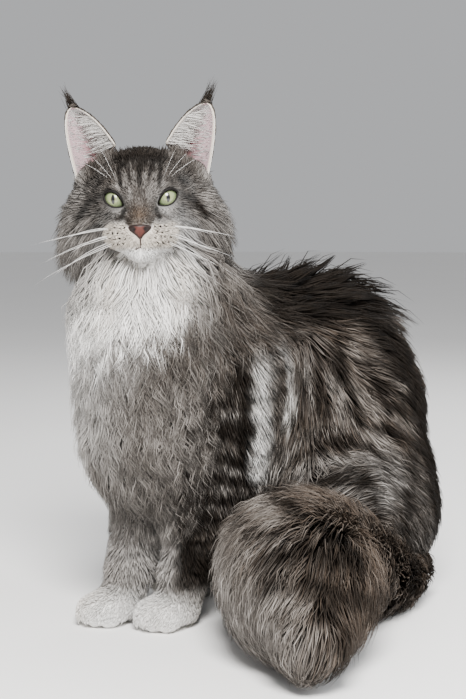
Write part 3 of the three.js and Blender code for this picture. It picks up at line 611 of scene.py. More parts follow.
def breast_marks(at, dark, warm, pale, mottled):
    """Ruff, bib and chest: white in front, grey at the sides, dark over the nape."""
    facing = np.arctan2(at.x + 2, -(at.y - 10))
    turn = np.abs(facing)
    nape = step_between(1.55, 2.3, turn + at.rough * 0.2)
    low = 0.4 * step_between(218, 196, at.z)
    shoulder = step_between(0.8, 1.1, turn + low + at.fine * 0.1) * step_between(266, 244, at.z)
    own_dark = np.maximum(nape * (0.5 + 0.4 * mottled), dark * shoulder)
    dark = dark * (1 - at.breast) + at.breast * own_dark
    # the bib leans to the cat's right on its way down, and narrows
    bib_edge = np.clip((at.z - 228 + 11 * at.fine + 10 * at.middling) * 0.0132, 0, 0.84)
    past_bib = np.abs(facing + 0.5 * step_between(305, 225, at.z)) - bib_edge
    spread = 0.95 - 0.6 * step_between(225, 270, at.z)
    near_front = step_between(spread, 0.1, past_bib + 0.12 * at.fine)
    near_front = near_front * step_between(120, 190, at.z + 20 * at.middling)
    soft = 0.1 + 0.52 * step_between(272, 218, at.z) + 0.2 * at.middling
    soft = soft + near_front * (0.56 + 0.2 * at.fine)
    pale = pale * (1 - at.breast) + at.breast * np.maximum(soft, pale)
    bib = at.breast * step_between(0.09, -0.09, past_bib + 0.1 * at.fine + 0.1 * at.middling)
    under_bib = at.breast * near_front * (0.34 + 0.3 * at.fine) * step_between(275, 240, at.z)
    return dark, np.maximum(bib, under_bib), warm * (1 - 0.75 * at.breast), pale


def fringe_marks(at, dark, white, warm, pale):
    """The long pale fringe behind the foreleg."""
    fringe = strokes(at.side, at.height, FRINGE) * (1 - at.tail)
    fringe = fringe * np.clip(0.85 + 0.5 * at.fine, 0, 1)
    low = fringe * (0.2 + 0.5 * step_between(246, 206, at.z)) * (1 + 0.5 * at.fine)
    white = np.maximum(white, low)
    warm = warm * (1 - fringe) + 0.15 * fringe
    return dark * (1 - fringe), white, warm, np.maximum(pale, fringe)


def leg_marks(at, dark, white, warm, pale):
    """Forelegs: pale within, dark outside over the wrist, barred above it."""
    outer = step_between(-6, 12, at.wide - 29 + (at.y + 36) * 0.35 + at.fine * 4)
    wrist = step_between(88, 74, at.z) * step_between(24, 38, at.z) * outer
    wrist = wrist * (0.62 + 0.3 * at.middling)
    wave = np.sin((at.z + 5 * at.middling) * 2 * np.pi / BAR_STEP)
    bars = step_between(0.35, 0.9, 0.5 + 0.5 * wave) * step_between(44, 56, at.z)
    barred = np.maximum(np.maximum(dark * (0.5 + 0.5 * outer), wrist), bars * (0.38 + 0.4 * outer))
    dark = dark * (1 - at.legs) + barred * at.legs
    white = np.maximum(white, 0.12 * at.legs * (1 - outer))
    return dark, white, warm * (1 - 0.5 * at.legs), np.maximum(pale, at.legs * (1 - outer) * 0.8)


def tail_marks(at, dark, white, warm, pale):
    """Broad soft rings, then the end's own strokes; painted shade: pale in front, darker above and
    behind.
    """
    along = tail_along(at.p)
    off = unit(at.p - tail_bone(along))
    # Painted shade: darker, warmer and less pale on the tail's upper rear side
    painted_tail_shade = np.clip(0.45 + 0.55 * (off @ np.array([0.55, 0.66, 0.5])), 0, 1)
    wavy = along + 6 * at.middling + 8 * at.rough
    ring = 0.5 + 0.5 * np.sin(wavy * 2 * np.pi / RING_STEP + 2.2)
    ringed = np.clip(0.9 * step_between(0.25, 0.8, ring) * painted_tail_shade + 0.35 * painted_tail_shade, 0, 0.95)
    late = step_between(190, 240, along)
    light = strokes(at.side, at.height, TAIL_PALE)
    banded = np.maximum(strokes(at.side, at.height, TAIL_DARK), 0.25 * painted_tail_shade) * (1 - 0.9 * light)
    own_dark = ringed * (1 - late) + banded * late
    own_pale = np.clip(0.42 - 0.35 * painted_tail_shade + 0.2 * at.fine + 0.55 * light * late, 0, 1)
    dark = dark * (1 - at.tail) + at.tail * own_dark
    pale = pale * (1 - at.tail) + at.tail * own_pale
    return dark, white, np.where(at.tail > 0.5, 0.15 + 0.3 * painted_tail_shade, warm), pale


def sock_marks(at, dark, white, warm, pale):
    """White socks and a pale belly."""
    sock = at.feet * step_between(42, 32, at.z + at.fine * 4) * step_between(90, 74, at.y)
    belly = step_between(110, 80, at.z) * step_between(60, 30, at.wide)
    belly = belly * (1 - at.tail) * (1 - at.legs)
    return dark, np.maximum(white, sock * 0.9), warm, np.maximum(pale, belly * 0.7)


def marks_at(p, weights):
    """Dark, white, warm and pale shares for each point."""
    at = CoatPlaces(p, weights)
    marks = breast_marks(at, *body_marks(at))
    for laid_over in (fringe_marks, leg_marks, tail_marks, sock_marks):
        marks = laid_over(at, *marks)
    mixed = [own * (1 - at.head) + part * at.head for own, part in zip(marks, face_marks(p))]
    mixed[0] = step_between(0.08, 0.72, mixed[0])
    return np.clip(np.stack(mixed, 1), 0, 1)


TAIL_POINTS = np.array([step[0] for step in TAIL], float)
TAIL_STEPS = np.linalg.norm(np.diff(TAIL_POINTS, axis=0), axis=1)
TAIL_MARKS = np.concatenate([[0], np.cumsum(TAIL_STEPS)])


def tail_bone(along):
    return np.stack([np.interp(along, TAIL_MARKS, TAIL_POINTS[:, n]) for n in range(3)], 1)


def tail_along(p):
    best = np.full(len(p), 1e9)
    along = np.zeros(len(p))
    start = 0.0
    for a, b, length in zip(TAIL_POINTS[:-1], TAIL_POINTS[1:], TAIL_STEPS):
        t = np.clip(((p - a) @ (b - a)) / length**2, 0, 1)
        away = np.linalg.norm(p - a - t[:, None] * (b - a), axis=1)
        along = np.where(away < best, start + t * length, along)
        best = np.minimum(best, away)
        start += length
    return along


def tail_heading(p):
    """Along the bone, and from the thick part on swept off its upper rear edge and down, as long
    hair falls."""
    along = tail_along(p)
    bone = unit(tail_bone(along + 22) - tail_bone(along - 22))
    fall = step_between(150, 240, along)[:, None]
    end = step_between(280, 470, along)[:, None]
    sweep = np.array([-0.50, -0.60, -0.42]) * (1 - end) + np.array([-0.15, -0.25, -0.85]) * end
    return unit(bone * (1 - 0.45 * fall) + sweep * fall * 1.1)


def region_weights(p, spread=9.0):
    away = {name: field(forms, p, skin_depth) for name, forms in REGIONS.items()}
    nearest = np.min(list(away.values()), axis=0)
    raw = {name: np.exp(-(d - nearest) / spread) for name, d in away.items()}
    total = sum(raw.values())
    return {name: value / total for name, value in raw.items()}


# The lie of the coat
def head_lie(p):
    """Away from the nose, down over the cheeks and round the eyes."""
    h = to_head(p)
    heading = unit(h - np.array([0, -74, -20])) + np.array([0, 0.5, 0.0])
    cheek = step_between(-2, -24, h[:, 2]) * step_between(-40, -16, h[:, 1])
    heading = heading + cheek[:, None] * np.array([0, 0.1, -1.1])
    for side in SIDES.values():
        off = (h - EYE_AT * [side, 1, 1]) * [1, 0, 1]
        near = np.exp(-((np.linalg.norm(off, axis=1) / 17) ** 4)) * step_between(6, -8, h[:, 1])
        heading = heading + near[:, None] * (unit(off) * 1.5 + [side * 0.5, 0.3, 0])
    return unit(heading) @ HEAD_MATRIX.T


def lie_of(name, p):
    x, y, z = p[:, 0], p[:, 1], p[:, 2]
    one = np.ones(len(p))
    if name == "head":
        return head_lie(p)
    if name == "neck":
        away = unit(p - from_head((0, -40, -10)))
        return unit(away * 0.8 + np.array([0, 0.1, -1]))
    if name == "chest":
        return unit(np.stack([0.15 * np.sign(x), 0.12 * one, -one], 1))
    if name == "trunk":
        steep = np.clip((y - 60) / 160, 0, 1)
        down = -(0.35 + 0.5 * step_between(290, 180, z) + 1.1 * steep * step_between(150, 210, y))
        forward = step_between(150, 70, y) * step_between(286, 246, z)
        return unit(np.stack([0.2 * np.sign(x), 1 - 0.9 * forward, down - 1.1 * forward], 1))
    if name.startswith("foreleg"):
        back = step_between(-10, 20, y)
        return unit(np.stack([0.1 * np.sign(x), 0.15 + 0.5 * back, -one], 1))
    if name.startswith("forepaw"):
        return unit(np.stack([0 * x, -0.8 * one, -0.7 * one], 1))
    if name.startswith("thigh"):
        rise = step_between(110, 150, y) * 0.9
        knee = step_between(130, 90, y) * step_between(90, 120, z)
        return unit(np.stack([0.1 * np.sign(x), one, -0.25 - rise + 0.55 * knee], 1))
    if name.startswith("hindfoot"):
        return unit(np.stack([0 * x, -one, -0.3 * one], 1))
    return tail_heading(p)


def curtain_share(p, weights):
    """The long fringe behind the foreleg, which hangs straight down."""
    side = flank_way(p)
    flank = weights["trunk"] + weights["thigh_left"] + weights["thigh_right"]
    across = step_between(44, 56, side) * step_between(122, 96, side)
    return flank * across * step_between(282, 256, p[:, 2]) * step_between(118, 136, p[:, 2])


def lie_field(p, weights):
    total = unit(sum(weights[name][:, None] * lie_of(name, p) for name in REGIONS))
    hanging = curtain_share(p, weights)[:, None]
    return unit(total * (1 - hanging) + np.array([-0.05, -0.38, -1.0]) * hanging)


# Meshes
def mesh_object(name, points, faces):
    mesh = bpy.data.meshes.new(name)
    faces = np.asarray(faces)
    sides = faces.shape[1]
    mesh.vertices.add(len(points))
    mesh.vertices.foreach_set("co", np.asarray(in_metres(points), np.float32).ravel())
    mesh.loops.add(faces.size)
    mesh.loops.foreach_set("vertex_index", faces.ravel().astype(np.int32))
    mesh.polygons.add(len(faces))
    mesh.polygons.foreach_set("loop_start", np.arange(0, faces.size, sides, dtype=np.int32))
    mesh.update(calc_edges=True)
    mesh.polygons.foreach_set("use_smooth", np.ones(len(faces), bool))
    made = bpy.data.objects.new(name, mesh)
    bpy.context.scene.collection.objects.link(made)
    return made


def add_colour(made, name, values):
    attribute = made.data.attributes.new(name, "FLOAT_COLOR", "POINT")
    attribute.data.foreach_set("color", np.asarray(values, np.float32).ravel())


def kept(made, slot, material, *nodes):
    made.data.materials.append(material)
    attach(made, "root")
    if nodes:
        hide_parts(*nodes)
    return made


def skin_cells(grid):
    """Surface nets: a point in each crossed cell and a face over each crossed edge."""
    inside = grid < 0
    shape = inside.shape
    total = np.zeros([n - 1 for n in shape], np.int8)
    for a, b, c in np.ndindex(2, 2, 2):
        total += inside[a:shape[0] - 1 + a, b:shape[1] - 1 + b, c:shape[2] - 1 + c]
    cells = np.argwhere((total > 0) & (total < 8))
    index = np.full(total.shape, -1, np.int64)
    index[tuple(cells.T)] = np.arange(len(cells))
    sums, count = np.zeros((len(cells), 3)), np.zeros(len(cells))
    for corner in np.ndindex(2, 2, 2):
        for axis in range(3):
            if corner[axis]:
                continue
            other = list(corner)
            other[axis] = 1
            fa = grid[tuple((cells + corner).T)]
            fb = grid[tuple((cells + other).T)]
            hit = (fa < 0) != (fb < 0)
            at = np.tile(np.array(corner, float), (len(cells), 1))
            at[:, axis] = np.where(hit, fa / np.where(hit, fa - fb, 1), 0)
            sums += at * hit[:, None]
            count += hit
    local = sums / count[:, None] + cells
    points = [np.interp(steps, np.arange(len(axis)), axis) for steps, axis in zip(local.T, AXES)]
    points = np.stack(points, 1)
    quads = []
    for axis in range(3):
        here, after = [slice(1, -1)] * 3, [slice(1, -1)] * 3
        here[axis], after[axis] = slice(0, -1), slice(1, None)
        a, b = inside[tuple(here)], inside[tuple(after)]
        base = np.array([1, 1, 1])
        base[axis] = 0
        u, v = np.eye(3, dtype=int)[(axis + 1) % 3], np.eye(3, dtype=int)[(axis + 2) % 3]
        for leaving, crossed in ((True, a & ~b), (False, ~a & b)):
            e = np.argwhere(crossed) + base
            quad = np.stack([index[tuple(q.T)] for q in (e - u - v, e - v, e, e - u)], 1)
            quads.append(quad if leaving else quad[:, ::-1])
    return points, np.concatenate(quads)


def halved(quads):
    """Two triangles from each four-sided face."""
    return np.concatenate([quads[:, [0, 1, 2]], quads[:, [0, 2, 3]]])


def quadratic(a, b, c, t):
    a, b, c = (np.array(q, float) for q in (a, b, c))
    return (1 - t) ** 2 * a + 2 * (1 - t) * t * b + t * t * c


def bezier(a, b, c, d, t):
    t = t[:, None]
    a, b, c, d = (np.array(q, float) for q in (a, b, c, d))
    return (1 - t) ** 3 * a + 3 * (1 - t) ** 2 * t * b + 3 * (1 - t) * t * t * c + t**3 * d


# The almond between the lids, as seen along the eye's own gaze
ALMOND_INNER, ALMOND_OUTER = (-10, -6.4), (9, 4.6)


def almond(count):
    t = np.linspace(0, 1, count, endpoint=False)
    upper = bezier(ALMOND_INNER, (-7.6, 5.6), (2.4, 11.4), ALMOND_OUTER, t)
    lower = bezier(ALMOND_OUTER, (8.0, -6.6), (-1.4, -9.4), ALMOND_INNER, t)
    return np.concatenate([upper, lower])


def inside_almond(x, z):
    """A signed distance to the almond, below zero within it."""
    outline = almond(12)
    away = np.full(x.shape, 1e9)
    within = np.zeros(x.shape, bool)
    for a, b in zip(outline, np.roll(outline, -1, axis=0)):
        edge = b - a
        px, pz = x - a[0], z - a[1]
        t = np.clip((px * edge[0] + pz * edge[1]) / (edge @ edge), 0, 1)
        away = np.minimum(away, np.hypot(px - t * edge[0], pz - t * edge[1]))
        crosses = ((a[1] > z) != (b[1] > z)) & (x < edge[0] * (z - a[1]) / (edge[1] + 1e-12) + a[0])
        within ^= crosses
    return np.where(within, -away, away)


def eye_frame(points, side):
    """Cat points in the frame of one eye: x outwards, -y along its gaze, z up."""
    h = to_head(points) - EYE_AT * [side, 1, 1]
    h = h @ turn_matrix(side * EYE_TURN)
    return h * [side, 1, 1]


def from_eye(points, side):
    h = np.asarray(points, float) * [side, 1, 1]
    h = h @ turn_matrix(side * EYE_TURN).T
    return from_head(h + EYE_AT * [side, 1, 1])


def skin_grid():
    grid = smooth_min(BODY.skin, TAIL_LAYERS.skin, 8)
    between_eyes = from_head((0, EYE_AT[1], 0))
    cut = grid_cut(between_eyes - 42, between_eyes + 42)
    x, y, z = np.meshgrid(*(axis[c] for axis, c in zip(AXES, cut)), indexing="ij")
    points = np.stack([x, y, z], -1)
    for side in SIDES.values():
        local = eye_frame(points, side)
        socket = np.maximum(inside_almond(local[..., 0], local[..., 2]) - 0.3, local[..., 1] + 5)
        grid[cut] = np.maximum(grid[cut], -socket)
    return np.maximum(grid, (FLOOR_LIFT - AXES[2])[None, None, :])


def head_way(direction):
    return from_head(direction) - from_head((0, 0, 0))


RAY_REACH, HALVINGS = 70.0, 22


def leave(points, direction):
    """Where rays from inside the head come out of its skin."""
    points = np.asarray(points, float)
    near, far = np.zeros(len(points)), np.full(len(points), RAY_REACH)
    for _ in range(HALVINGS):
        middle = (near + far) / 2
        out = field(HEAD_FORMS, points + middle[:, None] * direction, skin_depth) > 0
        far, near = np.where(out, middle, far), np.where(out, near, middle)
    return points + far[:, None] * direction


def on_face(x, z, start=-20.0):
    x, z = np.broadcast_arrays(np.asarray(x, float), np.asarray(z, float))
    inner = from_head(np.stack([x.ravel(), np.full(x.size, start), z.ravel()], 1))
    return leave(inner, head_way((0, -1, 0)))


# Materials
def new_material(name, roughness, **settings):
    material = bpy.data.materials.new(name)
    material.use_nodes = True
    shader = material.node_tree.nodes["Principled BSDF"]
    shader.inputs["Roughness"].default_value = roughness
    for key, value in settings.items():
        shader.inputs[key.replace("_", " ")].default_value = value
    return material, material.node_tree, shader


def link(tree, source, target):
    tree.links.new(source, target)


def mix(tree, factor, a, b, kind="MIX"):
    node = tree.nodes.new("ShaderNodeMix")
    node.data_type = "RGBA"
    node.blend_type = kind
    for socket, value in ((node.inputs[0], factor), (node.inputs[6], a), (node.inputs[7], b)):
        if hasattr(value, "links"):
            link(tree, value, socket)
        elif isinstance(value, (int, float)):
            socket.default_value = value
        else:
            socket.default_value = (*value, 1)
    return node.outputs[2]


def sums(tree, operation, *values, clamp=False):
    node = tree.nodes.new("ShaderNodeMath")
    node.operation = operation
    node.use_clamp = clamp
    for socket, value in zip(node.inputs, values):
        if hasattr(value, "links"):
            link(tree, value, socket)
        else:
            socket.default_value = value
    return node.outputs[0]


def colour_ramp(tree, factor, stops):
    node = tree.nodes.new("ShaderNodeValToRGB")
    for n, (at, colour) in enumerate(stops):
        stop = node.color_ramp.elements[n] if n < 2 else node.color_ramp.elements.new(at)
        stop.position = at
        stop.color = (*colour, 1)
    link(tree, factor, node.inputs[0])
    return node.outputs[0]


def raise_grain(tree, shader, grain, strength, distance):
    node = tree.nodes.new("ShaderNodeBump")
    node.inputs["Strength"].default_value = strength
    node.inputs["Distance"].default_value = distance
    link(tree, grain, node.inputs["Height"])
    link(tree, node.outputs[0], shader.inputs["Normal"])


def object_noise(tree, scale, detail=3.0, stretch=None):
    place = tree.nodes.new("ShaderNodeTexCoord")
    source = place.outputs["Object"]
    if stretch:
        mapping = tree.nodes.new("ShaderNodeMapping")
        mapping.inputs["Scale"].default_value = stretch
        link(tree, source, mapping.inputs["Vector"])
        source = mapping.outputs["Vector"]
    node = tree.nodes.new("ShaderNodeTexNoise")
    node.inputs["Scale"].default_value = scale
    node.inputs["Detail"].default_value = detail
    link(tree, source, node.inputs["Vector"])
    return node.outputs["Fac"]


def attribute_parts(tree, name):
    node = tree.nodes.new("ShaderNodeAttribute")
    node.attribute_name = name
    split = tree.nodes.new("ShaderNodeSeparateColor")
    link(tree, node.outputs["Color"], split.inputs[0])
    return (*split.outputs[:3], node.outputs["Alpha"])


# The root colours are painted shade deep in the coat: each hair, white hair too, darkens towards its
# root
COAT_COLOURS = dict(
    root=(0.034, 0.029, 0.026),
    grey=(0.046, 0.039, 0.034),
    silver=(0.27, 0.256, 0.243),
    dark=(0.0036, 0.0029, 0.0024),
    dark_tip=(0.0140, 0.0104, 0.0077),
    brown=(0.125, 0.083, 0.053),
    white=(0.93, 0.925, 0.915),
    white_root_shade=(0.84, 0.83, 0.82),
    cream=(0.80, 0.65, 0.46),
)


def coat_material(name, bump_scale=None):
    material, tree, shader = new_material(name, 0.62)
    shader.inputs["Specular IOR Level"].default_value = 0.07
    c = COAT_COLOURS
    dark, white, warm, pale = attribute_parts(tree, "coat_marks")
    along, shade, tone, _ = attribute_parts(tree, "coat_hair")
    clouds = object_noise(tree, 46.0)
    light = sums(tree, "MULTIPLY_ADD", shade, 0.5, -0.25)
    paleness = sums(tree, "ADD", pale, light, clamp=True)
    ground = mix(tree, paleness, c["grey"], c["silver"])
    ground = mix(tree, sums(tree, "MULTIPLY", warm, 0.75), ground, c["brown"])
    # Painted shade deep in the coat: darker towards each hair's root
    clear_of_root_shade = sums(tree, "MULTIPLY_ADD", along, 1.2, 0.3, clamp=True)
    ground = mix(tree, clear_of_root_shade, c["root"], ground)
    stripe = mix(tree, along, c["dark"], c["dark_tip"])
    darkness = sums(tree, "ADD", dark, sums(tree, "MULTIPLY_ADD", clouds, 0.4, -0.2), clamp=True)
    darkness = sums(tree, "MULTIPLY", darkness, sums(tree, "GREATER_THAN", dark, 0.04))
    coat = mix(tree, darkness, ground, stripe)
    # White hair too takes the painted shade towards its root
    bright = mix(tree, clear_of_root_shade, c["white_root_shade"], c["white"])
    bright = mix(tree, sums(tree, "MULTIPLY", warm, 0.8), bright, c["cream"])
    worn = mix(tree, tone, (0.55, 0.54, 0.53), (1.3, 1.29, 1.27))
    coat = mix(tree, 1.0, coat, worn, "MULTIPLY")
    clean = mix(tree, tone, (0.88, 0.88, 0.87), (1.05, 1.05, 1.05))
    coat = mix(tree, white, coat, mix(tree, 1.0, bright, clean, "MULTIPLY"))
    link(tree, coat, shader.inputs["Base Color"])
    link(tree, sums(tree, "MULTIPLY_ADD", clouds, 0.2, 0.5), shader.inputs["Roughness"])
    if bump_scale:
        raise_grain(tree, shader, object_noise(tree, bump_scale, 4.0), 0.5, 0.001)
    return material


COAT = coat_material("tabby coat")
SKIN = coat_material("short tabby fur", 900.0)


# The skin of the whole cat
FLESH = ["head", "neck", "chest", "torso", "hips"]
FLESH += [f"tail_{part}" for part in ("root", "base", "middle", "tip")]
for name in SIDES:
    FLESH += [f"foreleg_{name}", f"forepaw_{name}", f"thigh_{name}", f"hindfoot_{name}"]

skin_points, skin_quads = skin_cells(skin_grid())
skin_weights = region_weights(skin_points)


def hair_values(count, along, seed, tone=0.5):
    draw = np.random.default_rng(seed)
    parts = [np.full(count, along), draw.random(count), np.full(count, tone), np.ones(count)]
    return np.stack(parts, 1)


def build_skin():
    made = mesh_object("skin", skin_points, skin_quads)
    add_colour(made, "coat_marks", marks_at(skin_points, skin_weights))
    # The skin is coloured as at 0.45 along a hair, so it takes part of the painted root shade
    add_colour(made, "coat_hair", hair_values(len(skin_points), 0.45, 1, 0.35))
    return kept(made, "face_fur", SKIN, *FLESH)


build_skin()


# Tufts: thin three-sided blades with a ridge, each on a path of its own
BLADE_PROFILE = {
    2: (0.8, 1.0),
    3: (0.7, 1.0, 0.72),
    4: (0.6, 1.0, 0.85, 0.55),
    5: (0.5, 0.95, 1.0, 0.8, 0.45),
}
PATCH = 0.003


def blade_faces(count, rings):
    ring = np.arange(rings - 1)[:, None] * 3
    side = np.arange(3)[None, :]
    nxt = (side + 1) % 3
    low, high, up_low, up_high = ring + side, ring + nxt, ring + 3 + side, ring + 3 + nxt
    lower, upper = np.stack([low, high, up_high], -1), np.stack([low, up_high, up_low], -1)
    walls = np.stack([lower, upper]).reshape(-1, 3)
    last, tip = (rings - 1) * 3, rings * 3
    ends = [(last + s, last + (s + 1) % 3, tip) for s in range(3)] + [(2, 1, 0)]
    one = np.concatenate([walls, ends])
    return (one[None] + (np.arange(count) * (rings * 3 + 1))[:, None, None]).reshape(-1, 3)


def unwrap(points, line):
    """The skin's own shape unrolled round a line: the turn round it and the way along it."""
    line = np.asarray(line, float)
    best = np.full(len(points), 1e9)
    along, turn = np.zeros(len(points)), np.zeros(len(points))
    start = 0.0
    for a, b in zip(line[:-1], line[1:]):
        length = np.linalg.norm(b - a)
        axis = (b - a) / length
        t = (points - a) @ axis
        held = np.clip(t, 0, length)
        away = points - a - held[:, None] * axis
        d = np.linalg.norm(away, axis=1)
        up = np.array([0, 0, 1.0]) if abs(axis[2]) < 0.8 else np.array([0, -1.0, 0])
        u = unit(np.cross(axis, up))
        v = np.cross(u, axis)
        angle = np.arctan2(away @ u, away @ v) / (2 * np.pi) + 0.5
        near = d < best
        along = np.where(near, start + t, along)
        turn = np.where(near, angle, turn)
        best = np.minimum(best, d)
        start += length
    along = (along - along.min()) / max(np.ptp(along), 1e-6)
    return np.clip(np.stack([turn, along], 1), PATCH, 1 - PATCH)


def blade_piece(name, paths, outs, widths, marks, shade, patches, flat=0.8, tone=None):
    """One mesh of many blades. paths: blades x rings + 1 x 3, the last point being the tip."""
    count, rings = paths.shape[0], paths.shape[1] - 1
    ahead = np.empty((count, rings, 3))
    ahead[:, 0] = paths[:, 1] - paths[:, 0]
    ahead[:, 1:] = paths[:, 2:] - paths[:, :-2]
    ahead = unit(ahead)
    across = unit(np.cross(ahead, outs))
    ridge = np.cross(across, ahead)
    half = widths[:, None, None] / 2 * np.array(BLADE_PROFILE[rings])[None, :, None]
    body = paths[:, :-1]
    points = np.empty((count, rings * 3 + 1, 3))
    points[:, 0:-1:3] = body - across * half
    points[:, 1:-1:3] = body + ridge * half * flat
    points[:, 2:-1:3] = body + across * half
    points[:, -1] = paths[:, -1]
    points[..., 2] = np.maximum(points[..., 2], FLOOR_LIFT)
    faces = blade_faces(count, rings)
    made = mesh_object(name, points.reshape(-1, 3), faces)
    each = rings * 3 + 1
    if marks.ndim == 2:
        marks = np.repeat(marks[:, None], rings + 1, axis=1)
    marks = np.concatenate([np.repeat(marks[:, :rings], 3, axis=1), marks[:, rings:]], axis=1)
    add_colour(made, "coat_marks", marks.reshape(-1, 4))
    along = np.concatenate([np.repeat(np.arange(rings) / rings, 3), [1.0]])
    tone = np.full(count, 0.5) if tone is None else tone
    hair = np.empty((count, each, 4))
    hair[..., 0] = along
    hair[..., 1] = shade[:, None]
    hair[..., 2] = tone[:, None]
    hair[..., 3] = 1
    add_colour(made, "coat_hair", hair.reshape(-1, 4))
    spot = np.empty((count, each, 2))
    spot[..., 0] = patches[:, :1] + (np.append(np.tile([-1, 0, 1], rings), 0) * PATCH * 0.4)
    spot[..., 1] = patches[:, 1:] + (along - 0.5) * PATCH * 0.9
    layer = made.data.uv_layers.new(name="OFBake")
    layer.data.foreach_set("uv", spot.reshape(-1, 2)[faces.ravel()].astype(np.float32).ravel())
    return made


def on_skin(seed, density_of):
    """Random roots over the skin, as many to each face as its own density asks for."""
    draw = np.random.default_rng(seed)
    thirds = halved(skin_quads)
    a, b, c = (skin_points[thirds[:, n]] for n in range(3))
    cross = np.cross(b - a, c - a)
    area = np.linalg.norm(cross, axis=1) / 2
    density = density_of(thirds)
    count = np.floor(area * density + draw.random(len(area))).astype(int)
    face = np.repeat(np.arange(len(area)), count)
    u, v = draw.random(len(face)), draw.random(len(face))
    flip = u + v > 1
    u, v = np.where(flip, 1 - u, u), np.where(flip, 1 - v, v)
    points = a[face] + u[:, None] * (b - a)[face] + v[:, None] * (c - a)[face]
    return points, unit(cross)[face]


def nearest_guides(points, guides):
    tree = kdtree.KDTree(len(guides))
    for n, p in enumerate(guides):
        tree.insert(p, n)
    tree.balance()
    return np.array([tree.find(p)[1] for p in points])


def grown_paths(roots, layers, weights, length, top, rings, draw, hold=1.0):
    """Paths that leave the skin and lie down along the coat, loose past the share they hold."""
    at = roots.copy()
    paths = [at]
    sway = unit(draw.normal(size=(len(roots), 3))) * 0.12
    for n in range(1, rings + 1):
        t = n / rings
        heading = lie_field(at, weights) + sway
        if t <= hold:
            out = layers.out(at)
            heading = unit(heading - (heading * out).sum(1)[:, None] * out)
            at = at + heading * (length / rings)[:, None]
            at = layers.settled(at, top * (1 - (1 - t) ** 1.7))
        else:
            heading = unit(1.1 * unit(paths[-1] - paths[-2]) + 0.3 * heading + [0, 0, -0.25])
            at = at + heading * (length / rings)[:, None]
        at[:, 2] = np.maximum(at[:, 2], FLOOR_LIFT + 0.5)
        paths.append(at)
    return np.stack(paths, 1)


# The coat's regions. A tuft's length is its base and so much of the room between skin and tips,
# or on the head a range of its own lengths. Density is in tufts for each square mm of skin
PELTS = (
    dict(name="face", regions=("head",), slot="face_fur", lengths=(0, 13),
         density=0.76, rings=2, width=0.75, clump=0.25, wave=0.0),
    dict(name="cheeks", regions=("head",), slot="face_fur", lengths=(13, 99),
         density=0.38, rings=3, width=0.95, clump=0.5, wave=0.04, hold=0.45),
    dict(name="ruff", regions=("neck",), slot="pale_fur", base=10, stretch=2.5,
         density=0.22, rings=4, width=1.2, clump=0.7, wave=0.13),
    dict(name="chest", regions=("chest",), slot="white_fur", base=8, stretch=2.3,
         density=0.22, rings=4, width=1.2, clump=0.74, wave=0.15),
    dict(name="back", regions=("trunk",), slot="back_fur", base=7, stretch=2.1,
         density=0.136, rings=3, width=1.4, clump=0.68, wave=0.06),
    dict(name="forelegs", regions=("foreleg_left", "foreleg_right"), slot="leg_fur",
         base=3.4, stretch=1.15, density=0.21, rings=3, width=1.0, clump=0.3, wave=0.03),
    dict(name="haunches", regions=("thigh_left", "thigh_right"), slot="back_fur",
         base=6, stretch=2.3, density=0.16, rings=3, width=1.35, clump=0.68, wave=0.05),
    dict(name="paws", regions=("forepaw_left", "forepaw_right", "hindfoot_left", "hindfoot_right"),
         slot="white_fur", base=2.6, stretch=0.9,
         density=0.42, rings=2, width=0.8, clump=0.15, wave=0.0),
    dict(name="tail", regions=("tail",), slot="tail_fur", base=8, stretch=1.7,
         density=0.16, rings=3, width=1.35, clump=0.4, wave=0.04),
)
# The lines that the skin is unrolled round
LINES = {
    "face": from_head([(0, -46, -20), (0, 24, -4)]),
    "cheeks": from_head([(0, -46, -20), (0, 24, -4)]),
    "ruff": [(0, -54, 352), (-4, -30, 262)],
    "chest": [(0, -38, 262), (0, -34, 150)],
    "back": [(0, 0, 214), (0, 176, 132)],
    "tail": TAIL_POINTS,
}
MOST_FACES = 190000
CLUMP_SIZE = 13
# Steps that spread the clumps' tones, places and waves evenly
TONE_STEP, DROP_STEP, WAVE_STEP = 0.618, 0.754, 2.399
SOLE_HEIGHT = 9


def line_of(pelt, roots):
    if pelt["name"] in LINES:
        return LINES[pelt["name"]]
    middle = roots.mean(axis=0)
    return [middle + [0, 0, 60], middle - [0, 0, 60]]


def head_length(p):
    """Shortest round the nose and eyes, long on the cheeks, the throat and behind the ears."""
    h = to_head(p)
    x, y, z = np.abs(h[:, 0]), h[:, 1], h[:, 2]
    from_nose = np.linalg.norm(h - [0, -60, -24], axis=1)
    cheek = 22 * step_between(30, 50, x) * step_between(14, -8, z)
    cheek = cheek + 14 * step_between(28, 44, x) * step_between(-8, -30, z)
    throat = 20 * step_between(-36, -54, z) * step_between(-50, -24, y)
    nape = 15 * step_between(8, 34, y)
    return 3.2 + 0.07 * np.maximum(from_nose - 10, 0) + np.maximum(np.maximum(cheek, throat), nape)


def nose_half_width(z):
    return np.interp(z, (-35.5, -34.5, -28, -25, -21.5, -20.5), (0, 2.5, 8, 10.6, 10.0, 0))


def crossing(paths):
    """Which blades pass over an eye or the nose."""
    flat = paths.reshape(-1, 3)
    over = np.zeros(len(flat), bool)
    for side in SIDES.values():
        local = eye_frame(flat, side)
        over |= (inside_almond(local[:, 0], local[:, 2]) < 0.9) & (local[:, 1] < 4)
    h = to_head(flat)
    over |= (np.abs(h[:, 0]) < nose_half_width(h[:, 2]) + 0.4) & (h[:, 1] < -46)
    return over.reshape(paths.shape[:2]).any(axis=1)


def kept_clear(paths):
    """Blades over an eye or the nose are cut short, and left out where that isn't enough."""
    hit = crossing(paths)
    paths[hit] = paths[hit, :1] + (paths[hit] - paths[hit, :1]) * 0.4
    return ~crossing(paths)


